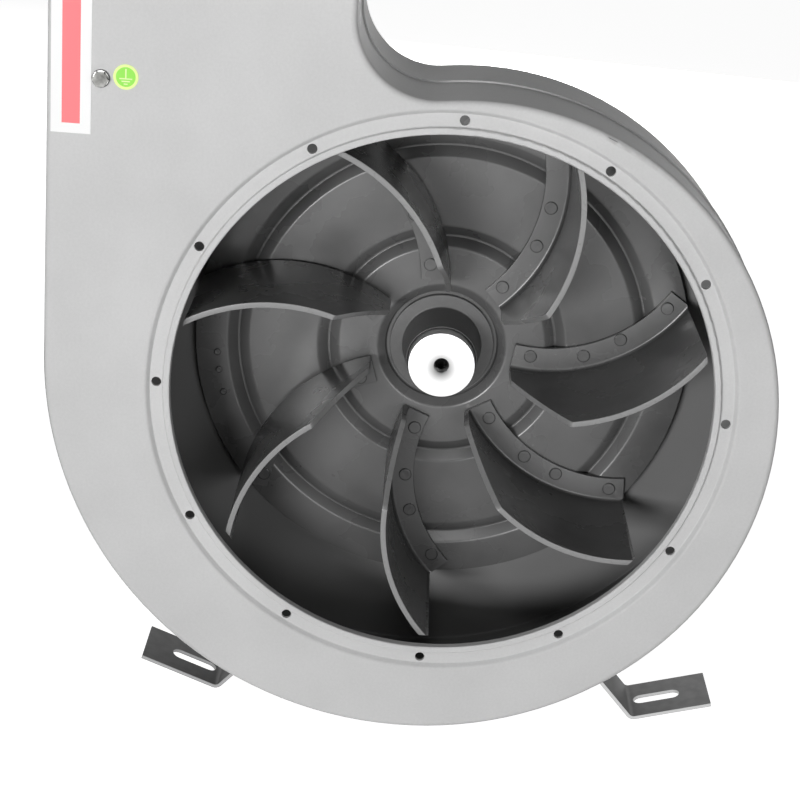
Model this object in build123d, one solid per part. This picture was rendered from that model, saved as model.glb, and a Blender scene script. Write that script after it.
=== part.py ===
from build123d import *
import os
from math import atan, cos, degrees, radians, sin, tan

# Chip extraction fan: a sheet-steel scroll casing round an open paddle wheel of seven riveted
# blades, driven directly by a flange motor behind it. Millimetres, +Z up. The inlet faces -Y,
# the outlet +Z, and the shaft lies along Y. The origin is the centre of the inlet's hole
# circle, on the face that the holes are in. Angles called "clock" angles are in degrees,
# clockwise from straight up as the inlet is looked at.

# Casing
SHEET = 2.0
FACE_STEP = 2.7
CASING_DEPTH = 107.0
CORNER_R = 3.2
SCROLL_R_TOP = 160.2
SCROLL_GROWTH = 0.182
SCROLL_START_ANGLE = -4.0
SCROLL_ARC_COUNT = 6
DUCT_LEAN = 0.4
CUTWATER_R = 40.0
OUTLET_Z = 240.0
SEAM_LAP = 2.2
SEAM_SHEET = 1.0
SEAM_GAP = 0.05

# Inlet
INLET_R = 142.8
RIM_WIDTH = 3.6
RIM_DEPTH = 4.7
HOLE_CIRCLE_R = 150.0
HOLE_COUNT = 12
HOLE_R = 2.6
SUNK_RING_R = 155.4
SUNK_SLOPE = 2.0
SUNK_SHOULDER_R = 2.0
SUNK_FOOT_R = 0.8
SUNK_LAND = 1.6
RIM_EDGE = 0.8

# Outlet flange
FLANGE_SHEET = 4.0
FLANGE_WIDTH = 26.0
FLANGE_FIT = 0.1
FLANGE_HOLE_R = 4.5
FLANGE_HOLE_INSET = 13.0
FLANGE_MIDDLE_HOLES = 3

# Feet
FOOT_SHEET = 2.0
FOOT_WIDTH = 37.0
FOOT_CENTRE_X = 5.5
FOOT_BEND_X = 119.8
FOOT_BEND_Z = -198.2
FOOT_FLANGE = 47.5
FOOT_LEFT_TILT = 20.4
FOOT_RIGHT_TILT = 15.8
FOOT_LEG_LEAN = 42.0
FOOT_LEG = 90.0
FOOT_BEND_R = 3.0
SLOT_LENGTH = 27.0
SLOT_R = 4.5
SLOT_FROM_BEND = 17.5
WELD_GAP = 0.05

# Paddle wheel
WHEEL_R = 141.0
BLADE_COUNT = 7
BLADE_SHEET = 3.0
BLADE_ARC_R = 99.0
BLADE_CENTRE_R = 104.3
BLADE_PHASE_ANGLE = 32.4
BLADE_START_ANGLE = 90.0
BLADE_END_ANGLE = 157.0
BLADE_FRONT_Y = 8.25
BLADE_ROOT_Y = 93.75
BLADE_NOTCH_Y = 67.5
BLADE_SLANT_ANGLE = 139.2
BLADE_BEND_R = 2.0
BLADE_FLANGE_R = 83.7
PLATE_SHEET = 2.0
LIP_R = 32.4
LIP_RUN = 4.4
LIP_DEPTH = 4.0
LIP_BEND_R = 3.0
GROOVE_RADII = (64.9, 116.6)
GROOVE_DEPTH = 4.2
GROOVE_FLOOR = 1.2
GROOVE_WALL = 5.4
GROOVE_BEND_R = 1.0
RIVET_ARC_R = 88.9
RIVET_ANGLES = (151.0, 131.5, 116.8, 95.6)
RIVET_R = 2.0
RIVET_HOLE_GAP = 0.05
RIVET_HEAD_R = 3.7
RIVET_HEAD = 0.8
RIVET_HEAD_EDGE = 0.2
RIVET_TAIL_R = 3.2
RIVET_TAIL = 1.3
BALANCE_ANGLES = (264.4, 259.0, 253.2)
BALANCE_R = 129.3
BALANCE_RIVET_R = 1.25
BALANCE_HEAD_R = 2.0
BALANCE_HEAD = 0.9

# Hub and sleeve
HUB_FLANGE_R = 57.0
HUB_FLANGE = 5.0
HUB_BOSS_R = 36.0
HUB_BOSS_RUN = 10.0
HUB_RING_R = 29.8
HUB_RING_STEP = 1.0
HUB_LIP_GAP = 0.2
NOSE_ROOT_R = 22.35
NOSE_R = 20.0
NOSE_LEAD = 0.85
NOSE_LEAD_DEPTH = 3.0
NOSE_Y = 68.5
HUB_REAR_Y = 103.0
SLEEVE_R = 18.75
SLEEVE_FRONT_Y = 60.3
SLEEVE_CHAMFER = 0.6
SLEEVE_END_GAP = 1.0
CENTRE_HOLE_R = 2.8
CENTRE_SINK_R = 4.3
FIT = 0.02

# Motor, of the 80 frame size with a 200 mm flange
MOTOR_PLATE = 4.0
MOTOR_PLATE_R = 108.0
SHELL_OPENING_R = 60.0
MOTOR_FLANGE_R = 100.0
MOTOR_FLANGE = 10.0
SPIGOT_R = 65.0
SPIGOT = 3.5
SPIGOT_GAP = 0.05
MOTOR_BOLT_CIRCLE_R = 82.5
MOTOR_BOLT_COUNT = 4
MOTOR_BOLT_ANGLE = 45.0
MOTOR_BOLT_R = 5.0
MOTOR_BOLT_HOLE_R = 5.5
MOTOR_BOLT_END = 5.0
BOLT_HEAD_R = 9.5
BOLT_HEAD = 2.5
WASHER_R = 10.0
WASHER = 2.0
NUT_FLATS = 16.0
NUT = 8.0
SHAFT_R = 9.5
SHAFT_LENGTH = 40.0
SHAFT_CHAMFER = 1.0
SHAFT_BODY_R = 13.0
FRONT_SEAT_R = 10.0
REAR_SEAT_R = 8.5
FAN_SEAT_R = 7.5
KEY_WIDTH = 6.0
KEY_FLOOR = 6.0
KEY_TOP = 12.0
KEY_ROOM = 0.3
KEY_LENGTH = 32.0
BEARING_FRONT_R = 23.5
BEARING_FRONT_WIDTH = 14.0
BEARING_REAR_R = 20.0
BEARING_REAR_WIDTH = 12.0
BEARING_WALL = 5.0
BEARING_FRONT_INSET = 6.0
RUNNING_GAP = 0.05
SHAFT_ROOM = 1.0
SEAT_LEDGE = 1.0
SHIELD_WALL = 5.0
SHIELD_R = 70.0
SHIELD_RIB_COUNT = 8
SHIELD_RIB = 5.0
SHIELD_SHOULDER = 6.0
FRONT_SHIELD_DEPTH = 27.0
HOUSING_LENGTH = 122.0
HOUSING_R = 66.0
HOUSING_BORE_R = 60.0
FIN_COUNT = 32
FIN_R = 77.0
FIN_WIDTH = 2.6
STATOR_LENGTH = 84.0
STATOR_BORE_R = 38.0
AIR_GAP = 0.4
ROTOR_LENGTH = 80.0
REAR_SHIELD_DEPTH = 12.0
REAR_SPIGOT = 4.0

# Cooling fan and cowl
FAN_R = 60.0
FAN_HUB_R = 16.0
FAN_HUB = 18.0
FAN_DISC = 2.5
FAN_BLADES = 8
FAN_BLADE = 2.5
FAN_ROOT = 1.0
FAN_GAP = 6.0
COWL_R = 79.5
COWL_SHEET = 1.5
COWL_OVERLAP = 10.0
COWL_DEPTH = 66.0
COWL_CORNER_R = 12.0
COWL_SLOT_COUNT = 16
COWL_SLOT_WIDTH = 5.0
COWL_SLOT_START = 18.0
COWL_SLOT_END = 56.0
COWL_SCREW_COUNT = 4
COWL_SCREW_R = 2.0
COWL_SCREW_HEAD_R = 4.0
COWL_SCREW_HEAD = 2.4
COWL_SCREW_LENGTH = 9.0
COWL_SCREW_ANGLE = 45.0
COWL_LUG_WIDTH = 12.0
COWL_LUG = 8.0
COWL_LUG_GAP = 1.0

# Terminal box
BOX_WIDTH = 88.0
BOX_LENGTH = 88.0
BOX_HEIGHT = 34.0
BOX_WALL = 3.0
BOX_PAD_WIDTH = 60.0
BOX_Z = 80.0
BOX_CORNER_R = 6.0
LID_HEIGHT = 10.0
LID_SCREW_INSET = 8.0
LID_SCREW_R = 2.0
LID_SCREW_HEAD_R = 4.0
LID_SCREW_HEAD = 2.5
LID_SCREW_LENGTH = 18.0
LID_BOSS_R = 6.0
GLAND_THREAD_R = 10.0
GLAND_FLATS = 24.0
GLAND_FLANGE = 6.0
GLAND_CAP_R = 11.0
GLAND_CAP = 16.0
GLAND_BORE_R = 6.0
GLAND_THREAD = 8.0

# Earth point and label, each placed from the duct's left edge and the outlet's end
EARTH_INSET = 26.623
EARTH_DROP = 82.3
EARTH_SCREW_R = 2.0
EARTH_HOLE_R = 2.25
EARTH_SCREW_LENGTH = 8.0
EARTH_FLATS = 7.0
EARTH_HEAD = 2.8
EARTH_WASHER_R = 4.5
EARTH_WASHER = 0.8
EARTH_NUT = 3.2
STICKER_INSET = 38.923
STICKER_DROP = 80.7
STICKER_R = 6.25
STICKER = 0.3
LABEL_WIDTH = 20.0
LABEL_HEIGHT = 75.0
LABEL = 0.3
LABEL_INSET = 11.823
LABEL_DROP = 73.1

# Faces along Y that several pieces share
Y_FACE = -FACE_STEP
Y_BACK = Y_FACE + CASING_DEPTH
Y_SEAM = (Y_FACE + Y_BACK) / 2
Y_WHEEL_BACK = BLADE_ROOT_Y + PLATE_SHEET
Y_MOTOR = Y_BACK + MOTOR_PLATE
Y_HOUSING = Y_MOTOR + FRONT_SHIELD_DEPTH
Y_HOUSING_END = Y_HOUSING + HOUSING_LENGTH
Y_SHIELD_END = Y_HOUSING_END + REAR_SHIELD_DEPTH
Y_SHAFT_TIP = Y_MOTOR - SHAFT_LENGTH
Y_FAN = Y_SHIELD_END + FAN_GAP
Y_COWL = Y_HOUSING_END - COWL_OVERLAP
CUT_PAST = 5.0


def slab(face, y0, y1):
    """Extrudes a face, drawn as seen from the inlet, between two places along Y."""
    return extrude(Pos(0, y0, 0) * (Plane.XZ * face), amount=y1 - y0, dir=(0, 1, 0))


def turned(*points):
    """Turns a closed profile of (radius, y) points about the shaft axis."""
    return revolve(make_face(Polyline(*points, close=True)), Axis.Y)


def tube(r_in, r_out, y0, y1):
    return turned((r_in, y0), (r_out, y0), (r_out, y1), (r_in, y1))


def rod(radius, y0, y1):
    return tube(0, radius, y0, y1)


def rounded(profile, *corners):
    """Rounds a face's corners, each given as ((x, y), radius)."""
    for place, radius in corners:
        nearest = profile.vertices().sort_by_distance((*place, 0))[0]
        profile = fillet(nearest, radius)
    return profile


def at_clock(shape, clock):
    """Turns what was made straight above the axis to a clock angle."""
    return Rot(0, clock, 0) * shape


def around(shape, count, start=0.0):
    return [at_clock(shape, start + i * 360.0 / count) for i in range(count)]


def scroll_radius(clock):
    return SCROLL_R_TOP + SCROLL_GROWTH * clock


def scroll_lead(clock):
    """Angle between the spiral's tangent and a circle's."""
    return degrees(atan(degrees(SCROLL_GROWTH) / scroll_radius(clock)))


def from_centre(centre, radius, clock):
    return (centre[0] + radius * sin(radians(clock)), centre[1] + radius * cos(radians(clock)))


def scroll_arcs():
    """The spiral as tangent arcs of growing radius: (centre, radius, first and last normal)."""
    first = SCROLL_START_ANGLE - scroll_lead(SCROLL_START_ANGLE)
    turn = (270.0 + DUCT_LEAN - first) / SCROLL_ARC_COUNT
    point = from_centre((0, 0), scroll_radius(SCROLL_START_ANGLE), SCROLL_START_ANGLE)
    arcs = []
    for i in range(SCROLL_ARC_COUNT):
        n0, n1 = first + i * turn, first + (i + 1) * turn
        radius = scroll_radius((n0 + n1) / 2 + scroll_lead((n0 + n1) / 2))
        centre = from_centre(point, -radius, n0)
        arcs.append((centre, radius, n0, n1))
        point = from_centre(centre, radius, n1)
    return arcs


SCROLL_ARCS = scroll_arcs()


def cutwater_centre():
    centre, radius, normal, _ = SCROLL_ARCS[0]
    return from_centre(centre, radius + CUTWATER_R, normal)


def duct_left(z, inset=0.0):
    """X of the duct's leaning left wall at a height."""
    centre, radius, _, normal = SCROLL_ARCS[-1]
    x, z_start = from_centre(centre, radius - inset, normal)
    return x + (z - z_start) * tan(radians(DUCT_LEAN))


def on_duct(inset, drop):
    """A place on the front plate, from the duct's left edge and its end."""
    return Pos(duct_left(OUTLET_Z) + inset, 0, OUTLET_Z - drop)


def duct_right(inset=0.0):
    return cutwater_centre()[0] - CUTWATER_R - inset


def outline(inset, top=OUTLET_Z):
    """The casing seen from the inlet: spiral, duct and cutwater, moved inwards."""
    curves = [CenterArc(centre, radius - inset, 90.0 - n0, n0 - n1)
              for centre, radius, n0, n1 in SCROLL_ARCS]
    centre = cutwater_centre()
    foot = (duct_right(inset), centre[1])
    sides = Polyline(curves[-1] @ 1, (duct_left(top, inset), top), (foot[0], top), foot)
    nose = CenterArc(centre, CUTWATER_R + inset, 180.0, 90.0 - SCROLL_ARCS[0][2])
    return make_face([*curves, *sides.edges(), nose])


def pan(y_plate, y_rim):
    """One pressed half of the casing: a plate and half of the side wall, round-cornered."""
    inwards = 1 if y_rim > y_plate else -1
    over = OUTLET_Z + CUT_PAST + CORNER_R
    body = slab(outline(0, over), min(y_plate, y_rim), max(y_plate, y_rim))
    y_floor = y_plate + inwards * SHEET
    y_open = y_rim + inwards * CUT_PAST
    room = slab(outline(SHEET, over + CUT_PAST), min(y_floor, y_open), max(y_floor, y_open))
    which = 0 if inwards > 0 else -1
    body = fillet(body.edges().group_by(Axis.Y)[which], CORNER_R)
    room = fillet(room.edges().group_by(Axis.Y)[which], CORNER_R - SHEET)
    crown = Pos(0, Y_SEAM, OUTLET_Z + CUT_PAST * 4) * Box(
        SCROLL_R_TOP * 4, CASING_DEPTH * 2, CUT_PAST * 8)
    return body - room - crown


def scroll_front():
    shell = pan(Y_FACE, Y_SEAM)
    land = SUNK_RING_R + SUNK_LAND
    floor_r = SUNK_RING_R - SUNK_SLOPE
    rim = INLET_R + RIM_WIDTH
    ring = make_face(Polyline(
        (land, Y_FACE), (SUNK_RING_R, Y_FACE), (floor_r, 0), (rim, 0), (rim, Y_FACE), (INLET_R, Y_FACE),
        (INLET_R, Y_FACE + RIM_DEPTH), (floor_r + SUNK_LAND, Y_FACE + RIM_DEPTH),
        (land, Y_FACE + SHEET), close=True))
    ring = rounded(ring, ((SUNK_RING_R, Y_FACE), SUNK_SHOULDER_R), ((floor_r, 0), SUNK_FOOT_R),
                   ((rim, 0), RIM_EDGE), ((rim, Y_FACE), RIM_EDGE), ((INLET_R, Y_FACE), RIM_EDGE))
    shell = shell - rod(land, Y_FACE - CUT_PAST, Y_FACE + RIM_DEPTH) + revolve(ring, Axis.Y)
    hole = Pos(0, 0, HOLE_CIRCLE_R) * rod(HOLE_R, Y_FACE - CUT_PAST, Y_FACE + RIM_DEPTH + CUT_PAST)
    shell -= around(hole, HOLE_COUNT)
    earth = earth_place() * rod(EARTH_HOLE_R, Y_FACE - CUT_PAST, Y_FACE + CUT_PAST)
    return shell - earth


def scroll_rear():
    shell = pan(Y_BACK, Y_SEAM)
    lap = slab(outline(-SEAM_SHEET), Y_SEAM - SEAM_LAP, Y_SEAM + SEAM_LAP)
    lap -= slab(outline(-SEAM_GAP, OUTLET_Z + CUT_PAST), Y_SEAM - SEAM_LAP - CUT_PAST, Y_SEAM)
    lap -= slab(outline(SHEET, OUTLET_Z + CUT_PAST), Y_SEAM, Y_SEAM + SEAM_LAP + CUT_PAST)
    shell += lap
    shell -= rod(SHELL_OPENING_R, Y_BACK - SHEET - CUT_PAST, Y_BACK + CUT_PAST)
    return shell - motor_bolt_holes(Y_BACK - SHEET, Y_BACK)


def motor_bolt_holes(y0, y1):
    hole = Pos(0, 0, MOTOR_BOLT_CIRCLE_R) * rod(MOTOR_BOLT_HOLE_R, y0 - CUT_PAST, y1 + CUT_PAST)
    return around(hole, MOTOR_BOLT_COUNT, MOTOR_BOLT_ANGLE)


def duct_centre():
    return (duct_left(OUTLET_Z) + duct_right()) / 2, Y_SEAM


def outlet_flange():
    """Flat frame round the duct's end, holed at its corners and along its long sides."""
    x, y = duct_centre()
    width = duct_right() - duct_left(OUTLET_Z)
    low = OUTLET_Z - FLANGE_SHEET
    plate = Pos(x, y, low) * extrude(
        RectangleRounded(width + 2 * FLANGE_WIDTH, CASING_DEPTH + 2 * FLANGE_WIDTH, CORNER_R),
        FLANGE_SHEET)
    bore = slab(outline(-SEAM_SHEET - FLANGE_FIT, OUTLET_Z + CUT_PAST),
                Y_FACE - FLANGE_FIT, Y_BACK + FLANGE_FIT)
    plate -= bore
    hole = extrude(Circle(FLANGE_HOLE_R), FLANGE_SHEET + 2 * CUT_PAST)
    span_x, span_y = outlet_hole_spans()
    for place in GridLocations(span_x, span_y, 2, 2):
        plate -= Pos(x, y, low - CUT_PAST) * place * hole
    for place in GridLocations(span_x / (FLANGE_MIDDLE_HOLES - 1), span_y, 1, 2):
        plate -= Pos(x, y, low - CUT_PAST) * place * hole
    return plate


def outlet_hole_spans():
    reach = 2 * (FLANGE_WIDTH - FLANGE_HOLE_INSET)
    return duct_right() - duct_left(OUTLET_Z) + reach, CASING_DEPTH + reach


def foot(side, flange_tilt):
    """Bent strip with a slot; its leg is welded to the casing's side wall."""
    tilt, lean = radians(flange_tilt), radians(FOOT_LEG_LEAN)
    u = Vector(side * cos(tilt), sin(tilt))
    v = Vector(-side * sin(lean), cos(lean))
    corner = Vector(FOOT_CENTRE_X + side * FOOT_BEND_X, FOOT_BEND_Z)
    opening = radians(u.get_angle(v))
    inner = corner + (u + v) * (FOOT_SHEET / sin(opening))
    up_u = (v - u * cos(opening)) * (FOOT_SHEET / sin(opening))
    up_v = (u - v * cos(opening)) * (FOOT_SHEET / sin(opening))
    end_u, end_v = corner + u * FOOT_FLANGE, corner + v * FOOT_LEG
    points = [corner, end_u, end_u + up_u, inner, end_v + up_v, end_v]
    profile = make_face(Polyline(*[(p.X, p.Y) for p in points], close=True))
    profile = rounded(profile, ((corner.X, corner.Y), FOOT_BEND_R + FOOT_SHEET),
                      ((inner.X, inner.Y), FOOT_BEND_R))
    strip = slab(profile, Y_SEAM - FOOT_WIDTH / 2, Y_SEAM + FOOT_WIDTH / 2)
    middle = corner + u * SLOT_FROM_BEND
    slot = extrude(SlotOverall(SLOT_LENGTH, 2 * SLOT_R), 2 * CUT_PAST, both=True)
    strip -= Pos(middle.X, Y_SEAM, middle.Y) * Rot(0, -side * flange_tilt, 0) * slot
    strip -= slab(outline(-WELD_GAP), Y_FACE, Y_BACK)
    room = WELD_GAP + SEAM_SHEET
    return strip - slab(outline(-room), Y_SEAM - SEAM_LAP - WELD_GAP, Y_SEAM + SEAM_LAP + WELD_GAP)


def half_bend(run, depth):
    """How far a sheet's far side shifts sideways where the sheet bends along a slope."""
    return PLATE_SHEET * tan(atan(depth / run) / 2)


def lip_points(gap=0.0):
    """The dished lip's far side, from its end outwards, at a clearance behind it."""
    shift = half_bend(LIP_RUN, LIP_DEPTH) * (PLATE_SHEET + gap) / PLATE_SHEET
    y = BLADE_ROOT_Y + PLATE_SHEET + gap
    return (LIP_R - shift, y + LIP_DEPTH), (LIP_R + LIP_RUN - shift, y)


def back_plate():
    """Disc dished back at its centre, with two ring grooves pressed to the rear."""
    y_low = BLADE_ROOT_Y + GROOVE_DEPTH
    outer_r, inner_r = GROOVE_BEND_R + PLATE_SHEET, GROOVE_BEND_R
    lip_end, lip_start = lip_points()
    front = [(LIP_R, BLADE_ROOT_Y + LIP_DEPTH), (LIP_R + LIP_RUN, BLADE_ROOT_Y)]
    rear = [lip_end, lip_start]
    corners = [(front[1], LIP_BEND_R), (lip_start, LIP_BEND_R - PLATE_SHEET)]
    shift = half_bend(GROOVE_WALL, GROOVE_DEPTH)
    for r in GROOVE_RADII:
        half = GROOVE_FLOOR / 2
        for side in (-1, 1):
            top, low = r + side * (half + GROOVE_WALL), r + side * half
            edge = [((top, BLADE_ROOT_Y), outer_r), ((low, y_low), inner_r)]
            back = [((top + side * shift, Y_WHEEL_BACK), inner_r),
                    ((low + side * shift, y_low + PLATE_SHEET), outer_r)]
            front += [place for place, _ in edge[::-side]]
            rear += [place for place, _ in back[::-side]]
            corners += edge + back
    front.append((WHEEL_R, BLADE_ROOT_Y))
    rear.append((WHEEL_R, Y_WHEEL_BACK))
    profile = make_face(Polyline(*front, *reversed(rear), close=True))
    disc = revolve(rounded(profile, *corners), Axis.Y)
    hole = rod(RIVET_R + RIVET_HOLE_GAP, BLADE_ROOT_Y - CUT_PAST, Y_WHEEL_BACK + CUT_PAST)
    disc -= [place * hole for i in range(BLADE_COUNT) for place in rivet_places(i)]
    small = rod(BALANCE_RIVET_R + RIVET_HOLE_GAP, BLADE_ROOT_Y - CUT_PAST, Y_WHEEL_BACK + CUT_PAST)
    return disc - [at_clock(Pos(0, 0, BALANCE_R) * small, c) for c in BALANCE_ANGLES]


def blade_frame(index):
    """Place of a blade's arc centre; the arc is drawn about the origin."""
    return Rot(0, BLADE_PHASE_ANGLE + index * 360.0 / BLADE_COUNT, 0) * Pos(0, 0, BLADE_CENTRE_R)


def rivet_places(index):
    return [blade_frame(index) * Rot(0, clock, 0) * Pos(0, 0, RIVET_ARC_R) for clock in RIVET_ANGLES]


def blade():
    """Curved strip with a flange bent towards its hollow side, and a slanted inner corner."""
    r_in, r_out = BLADE_ARC_R - BLADE_SHEET / 2, BLADE_ARC_R + BLADE_SHEET / 2
    y_flange = BLADE_ROOT_Y - BLADE_SHEET
    profile = make_face(Polyline(
        (r_in, BLADE_FRONT_Y), (r_out, BLADE_FRONT_Y), (r_out, BLADE_ROOT_Y),
        (BLADE_FLANGE_R, BLADE_ROOT_Y), (BLADE_FLANGE_R, y_flange), (r_in, y_flange), close=True))
    profile = rounded(profile, ((r_in, y_flange), BLADE_BEND_R),
                      ((r_out, BLADE_ROOT_Y), BLADE_BEND_R + BLADE_SHEET))
    # The profile is drawn at clock angle 90 about the arc's centre.
    strip = revolve(Rot(0, BLADE_START_ANGLE - 90, 0) * profile, Axis.Y, BLADE_END_ANGLE - BLADE_START_ANGLE)
    middle = (BLADE_SLANT_ANGLE + BLADE_END_ANGLE) / 2
    x_notch = BLADE_ARC_R * sin(radians(BLADE_END_ANGLE - middle))
    x_front = -x_notch
    rise = (BLADE_FRONT_Y - BLADE_NOTCH_Y) / (x_front - x_notch)
    x_over = x_front - CUT_PAST / rise
    far = x_notch + BLADE_ARC_R / 3
    slant = make_face(Polyline((x_over, BLADE_FRONT_Y - CUT_PAST), (x_notch, BLADE_NOTCH_Y),
                               (far, BLADE_NOTCH_Y), (far, BLADE_FRONT_Y - CUT_PAST), close=True))
    reach = BLADE_CENTRE_R
    cutter = extrude(slant, reach + BLADE_ARC_R / 3, dir=(0, 0, 1))
    strip -= at_clock(cutter, middle)
    strip &= Pos(0, 0, -BLADE_CENTRE_R) * rod(WHEEL_R, BLADE_FRONT_Y - CUT_PAST, BLADE_ROOT_Y + CUT_PAST)
    hole = rod(RIVET_R + RIVET_HOLE_GAP, y_flange - CUT_PAST, BLADE_ROOT_Y + CUT_PAST)
    hole = Pos(0, 0, RIVET_ARC_R) * hole
    return strip - [Rot(0, clock, 0) * hole for clock in RIVET_ANGLES]


def rivet(y_head, y_tail, radius, head_r, head, tail_r):
    """Low flat head in front, shank, and a flat tail behind."""
    y_top = y_head - head
    return turned((0, y_top), (head_r - RIVET_HEAD_EDGE, y_top), (head_r, y_top + RIVET_HEAD_EDGE),
                  (head_r, y_head), (radius, y_head), (radius, y_tail), (tail_r, y_tail),
                  (tail_r, y_tail + RIVET_TAIL), (0, y_tail + RIVET_TAIL))


def blade_rivets():
    """Four to a blade; the one nearest the hub also holds the hub's flange."""
    y_head = BLADE_ROOT_Y - BLADE_SHEET
    long = rivet(y_head, Y_WHEEL_BACK + HUB_FLANGE, RIVET_R, RIVET_HEAD_R, RIVET_HEAD, RIVET_TAIL_R)
    short = rivet(y_head, Y_WHEEL_BACK, RIVET_R, RIVET_HEAD_R, RIVET_HEAD, RIVET_TAIL_R)
    return [place * (long if k == 0 else short)
            for i in range(BLADE_COUNT) for k, place in enumerate(rivet_places(i))]


def balance_rivets():
    one = rivet(BLADE_ROOT_Y, Y_WHEEL_BACK, BALANCE_RIVET_R, BALANCE_HEAD_R, BALANCE_HEAD,
                BALANCE_HEAD_R)
    return [at_clock(Pos(0, 0, BALANCE_R) * one, clock) for clock in BALANCE_ANGLES]


def hub():
    """Flange behind the back plate, flat ring inside its lip, and a tapered nose."""
    lip_end, lip_start = lip_points(HUB_LIP_GAP)
    y_ring = Y_WHEEL_BACK + HUB_RING_STEP
    y_flange = Y_WHEEL_BACK + HUB_FLANGE
    bore = SLEEVE_R + FIT
    body = turned((bore, NOSE_Y + NOSE_LEAD_DEPTH), (bore + NOSE_LEAD, NOSE_Y), (NOSE_R, NOSE_Y),
                  (NOSE_ROOT_R, y_ring), (HUB_RING_R, y_ring), (HUB_RING_R, lip_end[1]), lip_end,
                  lip_start, (LIP_R + LIP_RUN, Y_WHEEL_BACK), (HUB_FLANGE_R, Y_WHEEL_BACK),
                  (HUB_FLANGE_R, y_flange), (HUB_BOSS_R + HUB_BOSS_RUN, y_flange),
                  (HUB_BOSS_R, HUB_REAR_Y), (bore, HUB_REAR_Y))
    hole = rod(RIVET_R + RIVET_HOLE_GAP, Y_WHEEL_BACK - CUT_PAST, y_flange + CUT_PAST)
    return body - [rivet_places(i)[0] * hole for i in range(BLADE_COUNT)]


def hub_sleeve():
    """Turned sleeve over the shaft, closed in front but for a small countersunk hole."""
    bore = SHAFT_R + FIT
    y_closed = Y_SHAFT_TIP - SLEEVE_END_GAP
    sink = CENTRE_SINK_R - CENTRE_HOLE_R
    body = turned((CENTRE_HOLE_R, SLEEVE_FRONT_Y + sink * 1.4), (CENTRE_SINK_R, SLEEVE_FRONT_Y),
                  (SLEEVE_R - SLEEVE_CHAMFER, SLEEVE_FRONT_Y),
                  (SLEEVE_R, SLEEVE_FRONT_Y + SLEEVE_CHAMFER), (SLEEVE_R, HUB_REAR_Y),
                  (bore, HUB_REAR_Y), (bore, y_closed), (CENTRE_HOLE_R, y_closed))
    way = Box(KEY_WIDTH + 2 * FIT, HUB_REAR_Y - y_closed + CUT_PAST, KEY_TOP + KEY_ROOM,
              align=(Align.CENTER, Align.MIN, Align.MIN))
    return body - Pos(0, y_closed, 0) * way


def shaft():
    y_body = Y_MOTOR + BEARING_FRONT_INSET + BEARING_FRONT_WIDTH
    y_rear = Y_SHIELD_END - BEARING_REAR_WIDTH
    y_end = Y_FAN + FAN_HUB
    body = turned((0, Y_SHAFT_TIP), (SHAFT_R - SHAFT_CHAMFER, Y_SHAFT_TIP),
                  (SHAFT_R, Y_SHAFT_TIP + SHAFT_CHAMFER), (SHAFT_R, Y_MOTOR),
                  (FRONT_SEAT_R, Y_MOTOR), (FRONT_SEAT_R, y_body), (SHAFT_BODY_R, y_body),
                  (SHAFT_BODY_R, y_rear), (REAR_SEAT_R, y_rear), (REAR_SEAT_R, Y_SHIELD_END),
                  (FAN_SEAT_R, Y_SHIELD_END), (FAN_SEAT_R, y_end), (0, y_end))
    return body - key_shape(FIT)


def key_shape(room):
    """Flat key with round ends, lying in the shaft."""
    plan = SlotOverall(KEY_LENGTH + 2 * room, KEY_WIDTH + 2 * room)
    y_middle = Y_SHAFT_TIP + (SHAFT_LENGTH - SHAFT_CHAMFER) / 2
    return Pos(0, y_middle, KEY_FLOOR - room) * extrude(Rot(0, 0, 90) * plan, KEY_TOP - KEY_FLOOR + room)


def motor_plate():
    plate = tube(SPIGOT_R + SPIGOT_GAP, MOTOR_PLATE_R, Y_BACK, Y_MOTOR)
    return plate - motor_bolt_holes(Y_BACK, Y_MOTOR)


def motor_bolts():
    y_inside = Y_BACK - SHEET
    y_nut = Y_MOTOR + MOTOR_FLANGE + WASHER
    one = turned((0, y_inside - BOLT_HEAD), (BOLT_HEAD_R * 0.75, y_inside - BOLT_HEAD),
                 (BOLT_HEAD_R, y_inside - BOLT_HEAD * 0.4), (BOLT_HEAD_R, y_inside),
                 (MOTOR_BOLT_R, y_inside), (MOTOR_BOLT_R, y_nut + NUT + MOTOR_BOLT_END),
                 (0, y_nut + NUT + MOTOR_BOLT_END))
    return around(Pos(0, 0, MOTOR_BOLT_CIRCLE_R) * one, MOTOR_BOLT_COUNT, MOTOR_BOLT_ANGLE)


def motor_washers():
    y = Y_MOTOR + MOTOR_FLANGE
    one = tube(MOTOR_BOLT_HOLE_R, WASHER_R, y, y + WASHER)
    return around(Pos(0, 0, MOTOR_BOLT_CIRCLE_R) * one, MOTOR_BOLT_COUNT, MOTOR_BOLT_ANGLE)


def motor_nuts():
    y = Y_MOTOR + MOTOR_FLANGE + WASHER
    one = hexagon(NUT_FLATS, y, y + NUT) - rod(MOTOR_BOLT_R + RUNNING_GAP, y - CUT_PAST, y + NUT + CUT_PAST)
    return around(Pos(0, 0, MOTOR_BOLT_CIRCLE_R) * one, MOTOR_BOLT_COUNT, MOTOR_BOLT_ANGLE)


def hexagon(flats, y0, y1):
    return slab(RegularPolygon(flats / 2, 6, major_radius=False), y0, y1)


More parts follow.
